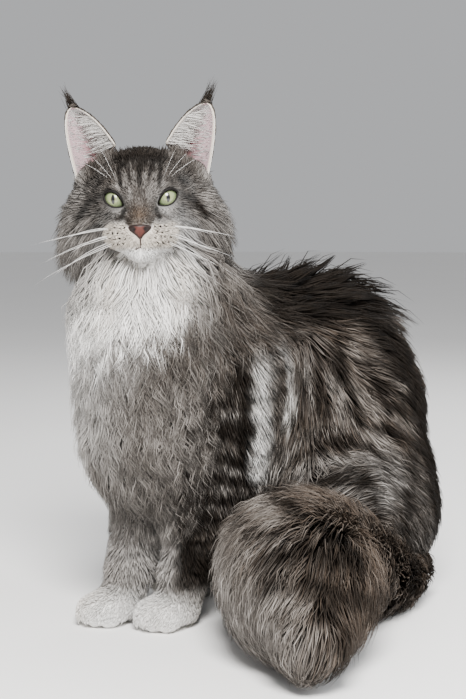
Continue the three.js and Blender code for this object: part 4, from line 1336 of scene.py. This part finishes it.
def pelt_roots(number, pelt):
    """Random roots of a pelt's tufts, none under the feet."""
    names = list(REGIONS)
    nearest = np.argmax([skin_weights[name] for name in names], axis=0)
    mine = np.isin(nearest, [names.index(name) for name in pelt["regions"]])
    if "lengths" in pelt:
        shortest, longest = pelt["lengths"]
        reach = head_length(skin_points)
        mine &= (reach >= shortest) & (reach < longest)
    roots, normals = on_skin(100 + number, lambda t: mine[t[:, 0]] * pelt["density"])
    return roots[~((roots[:, 2] < SOLE_HEIGHT) & (normals[:, 2] < -0.3))]


def back_ridge(p):
    """The ridge of the back, where the hair stands up."""
    return step_between(262, 292, p[:, 2])


def tuft_sizes(pelt, layers, roots, weights, draw):
    """Each tuft's length and how high it ends, which tufts lead a clump and which stray from it."""
    count = len(roots)
    if "lengths" in pelt:
        usual = head_length(roots)
    else:
        usual = pelt["base"] + pelt["stretch"] * layers.room(roots)[1]
    length = usual * draw.uniform(0.75, 1.2, count) * (1 + 0.5 * curtain_share(roots, weights))
    top = draw.uniform(0.6, 1.02, count) ** 0.7
    guides = draw.choice(count, max(4, count // CLUMP_SIZE), replace=False)
    ridge = back_ridge(roots[guides]) * weights["trunk"][guides]
    top[guides] = draw.uniform(0.72, 1.16, len(guides))
    top[guides] += ridge * draw.uniform(0.0, 1.5, len(guides))
    length[guides] *= 1 + 0.35 * ridge
    stray = draw.random(count) < 0.04
    return length, np.where(stray, draw.uniform(1.0, 1.2, count), top), guides, stray


def clumped(pelt, paths, roots, weights, guides, stray, draw):
    """Tufts drawn towards the nearest guide, the more the nearer to their tips."""
    near = guides[nearest_guides(roots, roots[guides])]
    pull = np.where(stray, 0.15, pelt["clump"]) * draw.uniform(0.6, 1.15, len(roots))
    pull = np.maximum(pull, 0.9 * back_ridge(roots) * weights["trunk"])
    t = np.arange(pelt["rings"] + 1) / pelt["rings"]
    share = np.clip(pull[:, None] * t[None] ** 1.3, 0, 0.93)[..., None]
    return paths * (1 - share) + paths[near] * share, near


def waved(pelt, layers, paths, roots, length, near, draw):
    """A sideways wave along each tuft, much the same within a clump."""
    count = len(roots)
    t = np.arange(pelt["rings"] + 1) / pelt["rings"]
    phase = (near * WAVE_STEP % (2 * np.pi))[:, None] + draw.normal(0, 0.35, count)[:, None]
    swing = np.sin(phase + t[None] * 7.0) * t[None] * (length * pelt["wave"])[:, None]
    sideways = unit(np.cross(paths[:, -1] - paths[:, 0], layers.out(roots)))
    return paths + swing[..., None] * sideways[:, None]


def keep_off(paths, rings):
    """Each ring past the root is kept off the skin and the floor."""
    for n in range(1, rings + 1):
        least = min(0.4 + 0.12 * rings * n, 1.6)
        for whole in (BODY, TAIL_LAYERS):
            paths[:, n] = whole.lifted(paths[:, n], least)
    paths[..., 2] = np.maximum(paths[..., 2], FLOOR_LIFT + 0.4)


def read_places(pelt, paths, roots, near):
    """Where the tufts read their marks: on the back near the root, on the ruff above, by clumps."""
    each = paths.shape[1]
    places = paths.reshape(-1, 3).copy()
    if pelt["name"] == "back":
        places[:, 2] = np.minimum(places[:, 2], np.repeat(roots[:, 2] + 4, each))
    if pelt["name"] in ("ruff", "chest"):
        places[:, 2] += np.repeat(34 * (near * DROP_STEP % 1) ** 1.4 - 4, each)
    return places


def build_pelt(number, pelt):
    layers = {"head": HEAD_LAYERS, "tail": TAIL_LAYERS}.get(pelt["regions"][0], BODY)
    draw = np.random.default_rng(200 + number)
    rings = pelt["rings"]
    roots = pelt_roots(number, pelt)
    weights = region_weights(roots)
    length, top, guides, stray = tuft_sizes(pelt, layers, roots, weights, draw)
    paths = grown_paths(roots, layers, weights, length, top, rings, draw, pelt.get("hold", 1.0))
    paths, near = clumped(pelt, paths, roots, weights, guides, stray, draw)
    if pelt["wave"]:
        paths = waved(pelt, layers, paths, roots, length, near, draw)
    keep_off(paths, rings)
    if "lengths" in pelt:
        clear = kept_clear(paths)
        paths, roots, near = paths[clear], roots[clear], near[clear]
        weights = {name: value[clear] for name, value in weights.items()}
    count = len(roots)
    outs = np.stack([layers.out(paths[:, n]) for n in range(rings)], 1)
    outs = unit(outs + draw.normal(0, 0.25, (count, 1, 3)))
    widths = pelt["width"] * draw.uniform(0.7, 1.25, count)
    every = {name: np.repeat(value, rings + 1) for name, value in weights.items()}
    marks = marks_at(read_places(pelt, paths, roots, near), every).reshape(count, rings + 1, 4)
    shade = draw.random(count)
    tone = np.clip(0.5 + 0.6 * (near * TONE_STEP % 1 - 0.5) + draw.normal(0, 0.14, count), 0, 1)
    patches = unwrap(roots, line_of(pelt, roots))
    parts = math.ceil(count * (6 * (rings - 1) + 4) / MOST_FACES)
    order = np.argsort(patches[:, 1], kind="stable")
    for n, chosen in enumerate(np.array_split(order, parts)):
        shared = [each[chosen] for each in (paths, outs, widths, marks, shade, patches)]
        made = blade_piece(f"coat_{pelt['name']}_{n + 1}", *shared, tone=tone[chosen])
        kept(made, pelt["slot"], COAT)


for number, pelt in enumerate(PELTS):
    build_pelt(number, pelt)


# Eyes. The pupil's size and the iris's colours from the middle outwards, as shares of the ball
PUPIL_HALF_WIDTH, PUPIL_HALF_HEIGHT = 0.16, 0.40
IRIS_COLOURS = (
    (0.0, (0.15, 0.15, 0.06)), (0.28, (0.22, 0.245, 0.12)), (0.55, (0.16, 0.195, 0.10)),
    (0.76, (0.06, 0.08, 0.04)), (0.88, (0.008, 0.008, 0.006)),
)


def eye_material():
    material, tree, shader = new_material("wet eye", 0.2, Coat_Weight=0.55, Coat_Roughness=0.02)
    gaze_x, gaze_z, _, _ = attribute_parts(tree, "gaze")
    x = sums(tree, "MULTIPLY_ADD", gaze_x, 2.0, -1.0)
    z = sums(tree, "MULTIPLY_ADD", gaze_z, 2.0, -1.0)
    x2 = sums(tree, "MULTIPLY", x, x)
    z2 = sums(tree, "MULTIPLY", z, z)
    radius = sums(tree, "SQRT", sums(tree, "ADD", x2, z2))
    slit = sums(tree, "SQRT", sums(tree, "ADD", sums(tree, "MULTIPLY", x2, 1 / PUPIL_HALF_WIDTH**2),
                                   sums(tree, "MULTIPLY", z2, 1 / PUPIL_HALF_HEIGHT**2)))
    fibres = sums(tree, "MULTIPLY_ADD", object_noise(tree, 900.0, 3.0), 0.14, -0.07)
    iris = colour_ramp(tree, sums(tree, "ADD", radius, fibres, clamp=True), IRIS_COLOURS)
    pupil = colour_ramp(tree, slit, ((0.9, (0, 0, 0)), (1.0, (1, 1, 1))))
    link(tree, mix(tree, pupil, (0.004, 0.004, 0.005), iris), shader.inputs["Base Color"])
    return material


def grid_faces(rows, columns):
    """Faces of a grid of points: rows x columns, closed round each row, with the ends left open."""
    corners = [(r * columns, c, (c + 1) % columns) for r in range(rows - 1) for c in range(columns)]
    quads = [(row + c, row + d, row + columns + d, row + columns + c) for row, c, d in corners]
    return np.array(quads)


def capped(points, rows, columns):
    """Triangles for a closed grid with a pole added at each end."""
    faces = halved(grid_faces(rows, columns))
    first, last = points[:columns].mean(axis=0), points[-columns:].mean(axis=0)
    n = len(points)
    start = [(n, (c + 1) % columns, c) for c in range(columns)]
    base = (rows - 1) * columns
    end = [(n + 1, base + c, base + (c + 1) % columns) for c in range(columns)]
    return np.concatenate([points, [first, last]]), np.concatenate([faces, start, end])


EYE_BALL = 10.9
CORNEA = 0.05


def build_eye(name, side, material):
    rows, columns = 40, 48
    theta = np.pi * (np.arange(rows) + 0.5) / rows
    phi = 2 * np.pi * np.arange(columns) / columns
    radius = EYE_BALL * (1 + CORNEA * np.exp(-((theta / 0.6) ** 2)))
    ring = np.sin(theta) * radius
    depth = np.repeat(-np.cos(theta) * radius, columns).reshape(rows, columns)
    local = [ring[:, None] * np.cos(phi), depth, ring[:, None] * np.sin(phi)]
    local = np.stack(local, -1).reshape(-1, 3)
    local, faces = capped(local, rows, columns)
    if side < 0:
        faces = faces[:, ::-1]
    made = mesh_object(f"eyeball_{name}", from_eye(local, side), faces)
    gaze = np.stack([local[:, 0] / EYE_BALL / 2 + 0.5, local[:, 2] / EYE_BALL / 2 + 0.5,
                     np.zeros(len(local)), np.ones(len(local))], 1)
    add_colour(made, "gaze", gaze)
    kept(made, "eye", material, f"eye_{name}")


def tube(path, radii, sides, closed=False):
    path = np.asarray(path, float)
    ahead = np.roll(path, -1, 0) - np.roll(path, 1, 0)
    if not closed:
        ahead[0], ahead[-1] = path[1] - path[0], path[-1] - path[-2]
    ahead = unit(ahead)
    up = head_way((0, -1, 0.2))
    u = unit(np.cross(ahead, up))
    v = np.cross(u, ahead)
    turn = 2 * np.pi * np.arange(sides) / sides
    rings = path[:, None] + np.asarray(radii)[:, None, None] * (
        np.cos(turn)[None, :, None] * u[:, None] + np.sin(turn)[None, :, None] * v[:, None])
    points = rings.reshape(-1, 3)
    if not closed:
        return capped(points, len(path), sides)
    last = (len(path) - 1) * sides
    seam = [(last + c, last + (c + 1) % sides, (c + 1) % sides, c) for c in range(sides)]
    return points, halved(np.concatenate([grid_faces(len(path), sides), seam]))


def outward(points, faces):
    a, b, c = (points[faces[:, n]] for n in range(3))
    volume = (a * np.cross(b, c)).sum()
    return faces if volume > 0 else faces[:, ::-1]


def joined(parts):
    points, faces, start = [], [], 0
    for p, f in parts:
        points.append(p)
        faces.append(outward(p, np.asarray(f)) + start)
        start += len(p)
    return np.concatenate(points), np.concatenate(faces)


def speckled_material(name, colour, second, scale, roughness, gloss=0.2):
    material, tree, shader = new_material(name, roughness)
    shader.inputs["Specular IOR Level"].default_value = gloss
    grain = object_noise(tree, scale, 4.0)
    link(tree, mix(tree, grain, colour, second), shader.inputs["Base Color"])
    raise_grain(tree, shader, grain, 0.3, 0.0006)
    return material


def build_lids():
    dark, second = (0.003, 0.0025, 0.0022), (0.008, 0.0066, 0.006)
    material = speckled_material("dark lid rim", dark, second, 700.0, 0.62, gloss=0.12)
    for name, side in SIDES.items():
        outline = almond(22)
        flat = np.stack([outline[:, 0], np.full(len(outline), 6.0), outline[:, 1]], 1)
        gaze = from_eye((0, -1, 0), side) - from_eye((0, 0, 0), side)
        path = leave(from_eye(flat, side), gaze)
        inner = np.exp(-((outline[:, 0] + 11) / 4.5) ** 2)
        upper = step_between(0, 6, outline[:, 1] - outline[:, 0] * 0.5)
        radii = 0.95 + 0.65 * inner + 0.4 * upper
        points, faces = tube(path, radii, 8, closed=True)
        made = mesh_object(f"lids_{name}", points, outward(points, faces))
        kept(made, "face_fur", material)


# Nose leather and mouth
NOSE_HEIGHT = -25.5


def nose_outline(turn):
    """The leather's edge: broad above, narrowing to the cleft below."""
    s, c = np.sin(turn), np.cos(turn)
    wide = 10.4 * np.abs(c) ** 0.75 * np.sign(c)
    wide = wide * (1 - 0.72 * step_between(0.1, -0.95, s))
    tall = np.where(s > 0, 3.6 * s + 0.6 * np.abs(c) ** 3, 9.6 * s)
    return wide, NOSE_HEIGHT + tall


def nose_material():
    material, tree, shader = new_material("nose leather", 0.5)
    shader.inputs["Specular IOR Level"].default_value = 0.25
    rim, nostril_shade, _, _ = attribute_parts(tree, "leather")
    grain = object_noise(tree, 1500.0, 3.0)
    brick = mix(tree, grain, (0.098, 0.028, 0.021), (0.060, 0.018, 0.014))
    edged = mix(tree, rim, brick, (0.012, 0.0065, 0.0055))
    # Painted shade in the nostrils: near black over their shallow dents
    link(tree, mix(tree, nostril_shade, edged, (0.006, 0.003, 0.003)), shader.inputs["Base Color"])
    raise_grain(tree, shader, grain, 0.4, 0.0004)
    return material


def nose_relief(x, z, share):
    """How far the leather stands out, from its middle to its edge, and the nostrils in it."""
    wing = np.abs(x) - 5.0
    dent = np.exp(-((wing / 1.7) ** 2 + ((z + 26.2 + wing * 0.35) / 1.15) ** 2))
    groove = np.exp(-((x / 0.7) ** 2)) * step_between(-25, -29, z)
    lift = 2.3 * np.sqrt(np.maximum(1 - share**2.4, 0)) - 0.4 - 1.5 * dent - 0.7 * groove
    return lift + 0.5 * bump(np.abs(x), 7.2, 2.0) * bump(z, NOSE_HEIGHT, 3), dent


def build_nose():
    rings, columns = 16, 56
    edge_x, edge_z = nose_outline(2 * np.pi * np.arange(columns) / columns)
    share = (np.arange(rings) + 0.5) / rings
    x = (share[:, None] * edge_x).ravel()
    z = (NOSE_HEIGHT + share[:, None] * (edge_z - NOSE_HEIGHT)).ravel()
    t = np.repeat(share, columns)
    lift, dent = nose_relief(x, z, t)
    outer = np.stack([x, to_head(on_face(x, z))[:, 1] - lift, z], 1)
    back = outer[-columns:] + [0, 6, 0]
    points, faces = capped(np.concatenate([outer, back]), rings + 1, columns)
    made = mesh_object("nose_leather", from_head(points), outward(points, faces))
    dark_rim = step_between(0.62, 0.92, np.concatenate([t, np.ones(columns), [0, 1]]))
    dark_rim = np.maximum(dark_rim, step_between(2.8, 5.0, np.abs(points[:, 0])))
    dark_rim = np.maximum(dark_rim, step_between(-24.6, -23.0, points[:, 2]))
    # Painted shade in the nostrils, over their dents
    nostril_shade_mask = np.concatenate([np.clip(dent * 1.5, 0, 1), np.zeros(columns + 2)])
    add_colour(made, "leather", np.stack([dark_rim, nostril_shade_mask, nostril_shade_mask * 0, nostril_shade_mask * 0 + 1], 1))
    kept(made, "face_fur", nose_material())


def mouth_path(side):
    t = np.linspace(0, 1, 12)
    return side * 21 * t, -41.5 - 4.0 * np.sin(np.pi * t) + 1.0 * t


def build_mouth():
    dark, second = (0.02, 0.014, 0.012), (0.05, 0.034, 0.03)
    material = speckled_material("dark lip line", dark, second, 500.0, 0.6)
    parts = []
    for side in SIDES.values():
        x, z = mouth_path(side)
        parts.append(tube(on_face(x, z), np.linspace(0.85, 0.35, len(x)), 6))
    z = np.linspace(-33.5, -42, 6)
    parts.append(tube(on_face(0 * z, z), np.linspace(0.7, 0.8, 6), 6))
    points, faces = joined(parts)
    kept(mesh_object("mouth_line", points, faces), "face_fur", material)


# Ears: thin cups with the same sweep as the part's own
EAR = dict(inner=(23, 0, 48), inner_top=(42, -2, 79), outer=(58, 8, 15), outer_top=(74, 6, 78),
           tip=(60, 3, 83))
EAR_CUP = 22
EAR_HALF_SKIN = 0.9
EAR_BACK = unit((-0.25, 0.97, 0.05))
EAR_BEND = 1.25


def ear_point(t, s, thick):
    """A place on the ear in the head's frame: t up it, s from its inner edge to its outer."""
    t, s, thick = (np.asarray(v, float)[..., None] for v in np.broadcast_arrays(t, s, thick))
    a = quadratic(EAR["inner"], EAR["inner_top"], EAR["tip"], t)
    b = quadratic(EAR["outer"], EAR["outer_top"], EAR["tip"], t)
    half = (b - a) / 2
    long = np.linalg.norm(half, axis=-1, keepdims=True)
    deep = EAR_CUP * (1 - t) ** 0.75 + thick * 1.6
    across = (long + thick) * np.sin(s * EAR_BEND) / math.sin(EAR_BEND)
    inwards = deep * (np.cos(s * EAR_BEND) - math.cos(EAR_BEND)) / (1 - math.cos(EAR_BEND))
    return (a + b) / 2 + half / np.maximum(long, 1e-6) * across + EAR_BACK * inwards


def ear_material():
    material, tree, shader = new_material("thin ear skin", 0.6, Sheen_Weight=0.15)
    inner, rim, low, _ = attribute_parts(tree, "ear_place_and_cup_shade")
    grain = object_noise(tree, 420.0, 3.0, (1, 1, 0.25))
    flesh = mix(tree, grain, (0.29, 0.19, 0.205), (0.39, 0.285, 0.30))
    # Painted shade deep in the cup, darker towards its bottom
    flesh = mix(tree, low, flesh, (0.11, 0.030, 0.034))
    back = mix(tree, grain, (0.06, 0.05, 0.045), (0.13, 0.115, 0.10))
    both_sides = mix(tree, inner, back, flesh)
    link(tree, mix(tree, rim, both_sides, (0.50, 0.44, 0.37)), shader.inputs["Base Color"])
    return material


def build_ears():
    material = ear_material()
    rows, arcs = 26, 22
    t = 0.985 * (1 - (1 - np.arange(rows) / (rows - 1)) ** 1.2)
    s = np.linspace(-1, 1, arcs)
    for name, side in SIDES.items():
        outside = ear_point(t[:, None], s[None], EAR_HALF_SKIN)
        inside = ear_point(t[:, None], s[None, ::-1], -EAR_HALF_SKIN)
        ring = np.concatenate([outside, inside], 1)
        points, faces = capped(ring.reshape(-1, 3), rows, arcs * 2)
        points = points * [side, 1, 1]
        made = mesh_object(f"ear_shell_{name}", from_head(points), outward(points, faces))
        on_inside = np.tile(np.concatenate([np.zeros(arcs), np.ones(arcs)]), rows)
        edge = np.tile(np.concatenate([s, s[::-1]]), rows)
        rim = step_between(0.9, 0.99, np.abs(edge))
        # Where the cup's painted shade falls: inside, low down and towards its middle
        low = np.repeat(step_between(0.52, 0.16, t), arcs * 2) * on_inside
        low = low * step_between(0.95, 0.3, np.abs(edge + 0.25))
        place = np.stack([on_inside, rim, low, on_inside * 0 + 1], 1)
        add_colour(made, "ear_place_and_cup_shade", np.concatenate([place, place[:1], place[-1:]]))
        kept(made, "ear_skin", material, f"ear_{name}")


def plain_marks(count, dark, white, warm, pale):
    return np.tile([dark, white, warm, pale], (count, 1)).astype(float)


def head_hairs(name, slot, side, starts, headings, lengths, width, marks, bend, draw, rings, tone=0.5):
    """Hairs in the head's frame from their starts along their headings, bending as they go."""
    count = len(starts)
    t = np.arange(rings + 1) / rings
    paths = starts[:, None] + headings[:, None] * (lengths[:, None] * t)[..., None]
    paths = paths + np.asarray(bend)[None, None] * (t**2)[None, :, None] * lengths[:, None, None]
    paths = paths * [side, 1, 1]
    paths = from_head(paths.reshape(-1, 3)).reshape(paths.shape)
    outs = np.tile(head_way((0, -1, 0.3)), (count, rings, 1))
    outs = unit(outs + draw.normal(0, 0.3, (count, 1, 3)))
    patches = np.clip((starts[:, [0, 2]] - [10, 10]) / [60, 80], PATCH, 1 - PATCH)
    made = blade_piece(name, paths, outs, np.full(count, width), marks, draw.random(count), patches,
                       tone=np.full(count, tone))
    kept(made, slot, COAT)


def up_ear(t, s, thick, starts):
    return unit(ear_point(np.minimum(t + 0.05, 1.0), s, thick) - starts + 1e-6)


def ear_back_fur(name, side, draw, count=1700):
    """Short dark fur on the back of the ear, running up to the tip."""
    t, s = draw.uniform(0.0, 0.97, count), draw.uniform(-1, 1, count)
    starts = ear_point(t, s, 0.8)
    out = unit(ear_point(t, s, 2.0) - ear_point(t, s, 0.0))
    headings = unit(up_ear(t, s * 0.98, 0.8, starts) + out * 0.22)
    lengths = draw.uniform(4, 8, count)
    head_hairs(f"ear_back_fur_{name}", "ear_skin", side, starts, headings, lengths, 1.1,
               plain_marks(count, 0.6, 0, 0.2, 0.3), (0, 0, 0), draw, 2)


def ear_rim_fur(name, side, draw, count=700):
    """A fringe of cream hairs along both edges."""
    s = np.where(draw.random(count) < 0.5, -1.0, 1.0)
    t = draw.uniform(0.0, 0.8, count) * np.where(s > 0, 0.75, 1.0)
    starts = ear_point(t, s, 0.0)
    away = unit(ear_point(t, s * 1.02, 0.0) - ear_point(t, s * 0.96, 0.0))
    headings = unit(up_ear(t, s, 0.0, starts) + away * 0.3 + [0, -0.12, 0])
    lengths = draw.uniform(2.0, 4.2, count)
    head_hairs(f"ear_rim_fur_{name}", "ear_skin", side, starts, headings, lengths, 0.75,
               plain_marks(count, 0, 0.75, 0.3, 1), (0, 0, 0), draw, 2)


def ear_down(name, side, draw, count=620):
    """The cup's own pale down."""
    t = draw.uniform(0.05, 0.82, count) ** 0.8
    s = draw.uniform(-0.98, 0.82, count)
    starts = ear_point(t, s, -EAR_HALF_SKIN)
    across = unit(ear_point(t, s + 0.06, -EAR_HALF_SKIN) - starts)
    headings = unit(across + up_ear(t, s, -EAR_HALF_SKIN, starts) * 0.55 + [0, -0.16, 0])
    lengths = draw.uniform(7, 15, count) * (1.1 - t) * np.where(s > 0.3, 0.6, 1.0)
    head_hairs(f"ear_down_{name}", "ear_skin", side, starts, headings, lengths, 0.4,
               plain_marks(count, 0, 0.4, 0.0, 1), (0, 0, 0), draw, 2)


def ear_furnishings(name, side, draw, count=420):
    """The long pale hairs from the cup's inner edge."""
    t = draw.uniform(0.0, 0.62, count) ** 1.2
    s = draw.uniform(-1.0, -0.72, count)
    starts = ear_point(t, s, -0.4)
    across = unit(ear_point(t, s + 0.5, -1.0) - starts)
    headings = unit(across + np.array([0.35, -0.3, 0.3]) + draw.normal(0, 0.13, (count, 3)))
    lengths = draw.uniform(12, 30, count) * (1.05 - 0.7 * t)
    head_hairs(f"ear_furnishings_{name}", "ear_skin", side, starts, headings, lengths, 0.8,
               plain_marks(count, 0, 0.5, 0.1, 1), (0.12, 0.1, -0.05), draw, 4, 0.7)


def ear_foot_tuft(name, side, draw, count=640):
    """The fur that stands up in front of the ear's foot, marked as the head is there."""
    x = draw.uniform(-2, 57, count)
    z = np.interp(x, (0, 9, 23, 35, 57), (42, 41, 38, 34, 12)) - draw.uniform(0, 7, count)
    starts = to_head(on_face(side * x, z, 8.0)) * [side, 1, 1]
    headings = unit(np.array([0.12, -0.22, 1.0]) + draw.normal(0, 0.14, (count, 3)))
    under = from_head(starts * [side, 1, 1])
    lengths = np.interp(x, (0, 16, 26), (6.5, 8, 13)) * draw.uniform(0.55, 1.1, count)
    head_hairs(f"ear_foot_tuft_{name}", "face_fur", side, starts, headings, lengths, 0.9,
               marks_at(under, region_weights(under)), (0.15, -0.05, 0), draw, 3, 0.6)


def ear_tip_tuft(name, side, draw, count=110):
    """A dark brush at the tip, drawn to a point."""
    up = draw.uniform(0.8, 0.99, count)
    root = ear_point(up, draw.uniform(-1, 1, count), 1.2) + [0, 0.8, 0]
    goal = np.array(EAR["tip"]) + [7, 3, 18] + draw.normal(0, 1, (count, 3)) * [2.0, 1.2, 2.6]
    way = root + (goal - root) * draw.uniform(0.3, 1.05, (count, 1)) - root
    lengths = np.linalg.norm(way, axis=1)
    head_hairs(f"ear_tip_tuft_{name}", "ear_skin", side, root, unit(way), lengths, 0.36,
               plain_marks(count, 0.9, 0, 0.5, 0.3), (0.06, 0.02, 0.05), draw, 4)


EAR_FUR = (ear_back_fur, ear_rim_fur, ear_down, ear_furnishings, ear_foot_tuft, ear_tip_tuft)


def build_ear_fur():
    for name, side in SIDES.items():
        draw = np.random.default_rng(41 if side > 0 else 42)
        for build in EAR_FUR:
            build(name, side, draw)


# Whiskers and brows
HAIRS_A_SPOT = 14
WHISKER_REACH = {1: 92, -1: 110}  # from the head's middle, by side
WHISKER_ROWS = ((-24.4, 16), (-30.6, 30), (-36.8, 42))  # each row's height and its tips' drop


def build_whisker_spots():
    """Small dark dots in rows on the muzzle, of a few short dark hairs each."""
    draw = np.random.default_rng(73)
    at = [(side * (13 + column * 4.3 + (row % 2) * SPOT_SHIFT), height)
          for side in SIDES.values() for row, height in enumerate(SPOT_ROWS) for column in range(5)]
    at = np.repeat(np.array(at), HAIRS_A_SPOT, axis=0)
    at = at + draw.normal(0, 0.45, at.shape)
    starts = to_head(on_face(at[:, 0], at[:, 1]))
    headings = unit(unit(head_lie(from_head(starts)) @ HEAD_MATRIX) + [0, -0.25, 0])
    count = len(starts)
    starts = starts + [0, -1.3, 0]
    head_hairs("whisker_spots", "face_fur", 1, starts, headings, np.full(count, 1.8), 0.85,
               plain_marks(count, 0.95, 0, 0, 0), (0, 0, 0), draw, 2)


def whisker_lines(side, t, draw):
    for height, drop in WHISKER_ROWS:
        for column in range(3):
            root = to_head(on_face(side * (17 + column * 5), height))[0]
            short = 1 - 0.13 * column - draw.uniform(0, 0.12)
            reach = side * WHISKER_REACH[side] * short
            tip = np.array([reach, root[1] + 66 * short, height - drop * short])
            yield quadratic(root, (root + tip) / 2 + [0, -14, 5 + draw.uniform(-2, 3)], tip, t)


def brow_lines(side, t):
    for n in range(3):
        root = to_head(on_face(side * (20 + 3 * n), 15 + n))[0]
        tip = root + np.array([side * (14 + 7 * n), 4 + 3 * n, 30 - 6 * n])
        yield quadratic(root, (root + tip) / 2 + [0, -6, 3], tip, t)


def whisker_material():
    material, tree, shader = new_material("white whiskers", 0.35)
    grain = object_noise(tree, 60.0, 2.0)
    link(tree, mix(tree, grain, (0.78, 0.76, 0.73), (0.9, 0.89, 0.87)), shader.inputs["Base Color"])
    return material


def build_whiskers():
    draw = np.random.default_rng(71)
    t = np.linspace(0, 1, 6)[:, None]
    paths, widths = [], []
    for side in SIDES.values():
        for width, lines in ((0.65, whisker_lines(side, t, draw)), (0.2, brow_lines(side, t))):
            found = list(lines)
            paths += found
            widths += [width] * len(found)
    paths = np.array(paths)
    count = len(paths)
    whole = from_head(paths.reshape(-1, 3)).reshape(paths.shape)
    outs = np.tile(np.array([0, 0, 1.0]), (count, 5, 1))
    made = blade_piece("whiskers", whole, outs, np.array(widths), plain_marks(count, 0, 1, 0, 1),
                       np.full(count, 0.5), np.full((count, 2), 0.5), flat=1.1)
    kept(made, "white_fur", whisker_material())


EYE_SURFACE = eye_material()
for name, side in SIDES.items():
    build_eye(name, side, EYE_SURFACE)
build_lids()
build_nose()
build_mouth()
build_ears()
build_ear_fur()
build_whisker_spots()
build_whiskers()


# The room: a plain pale floor, soft studio light and a camera before the cat's left front
def build_stage():
    material, tree, shader = new_material("pale floor", 0.8)
    grain = object_noise(tree, 3.0, 4.0)
    stone = mix(tree, grain, (0.86, 0.85, 0.835), (0.90, 0.89, 0.875))
    link(tree, stone, shader.inputs["Base Color"])
    sides, radius = 64, 9000
    turn = 2 * np.pi * np.arange(sides) / sides
    points = np.stack([radius * np.cos(turn), radius * np.sin(turn), np.zeros(sides)], 1)
    points = np.concatenate([points, [[0, 0, 0]]])
    faces = [(n, (n + 1) % sides, sides) for n in range(sides)]
    floor = mesh_object("floor", points, faces)
    floor.data.materials.append(material)
    world = bpy.data.worlds.new("studio")
    world.use_nodes = True
    light = world.node_tree.nodes["Background"]
    light.inputs["Color"].default_value = (0.80, 0.81, 0.83, 1)
    light.inputs["Strength"].default_value = 0.62
    bpy.context.scene.world = world


CAMERA_AIM = np.array([58.0, 0.0, 400.0])
CAMERA_TURN = math.radians(50)
CAMERA_AWAY = 1500
CAMERA_PITCH = math.radians(5.53)
LENS = 85.85
LIGHT_AIM = (40, 40, 230)
# Turn from the camera in degrees, distance, height and size in metres, power and colour
LIGHTS = {
    "key": (2, 1.5, 1.15, 0.75, 122, (1.0, 0.985, 0.965)),
    "fill": (105, 1.9, 0.9, 1.4, 30, (0.95, 0.97, 1.0)),
    "rim": (160, 1.7, 1.3, 0.9, 15, (1.0, 1.0, 1.0)),
}


def build_camera():
    data = bpy.data.cameras.new("camera")
    data.lens = LENS
    data.sensor_width = 36
    camera = bpy.data.objects.new("camera", data)
    back = np.array([math.sin(CAMERA_TURN), -math.cos(CAMERA_TURN), 0])
    camera.location = Vector(in_metres(CAMERA_AIM + back * CAMERA_AWAY))
    camera.rotation_euler = (math.radians(90) - CAMERA_PITCH, 0, CAMERA_TURN)
    bpy.context.scene.collection.objects.link(camera)
    bpy.context.scene.camera = camera


def soft_light(name, turn, away, height, size, power, colour):
    data = bpy.data.lights.new(name, "AREA")
    data.shape = "DISK"
    data.size = size
    data.energy = power
    data.color = colour
    light = bpy.data.objects.new(name, data)
    angle = CAMERA_TURN + math.radians(turn)
    centre = Vector(in_metres(LIGHT_AIM))
    light.location = centre + Vector((math.sin(angle) * away, -math.cos(angle) * away, height))
    light.rotation_euler = (centre - light.location).to_track_quat("-Z", "Y").to_euler()
    bpy.context.scene.collection.objects.link(light)


build_stage()
build_camera()
for name, light in LIGHTS.items():
    soft_light(name, *light)
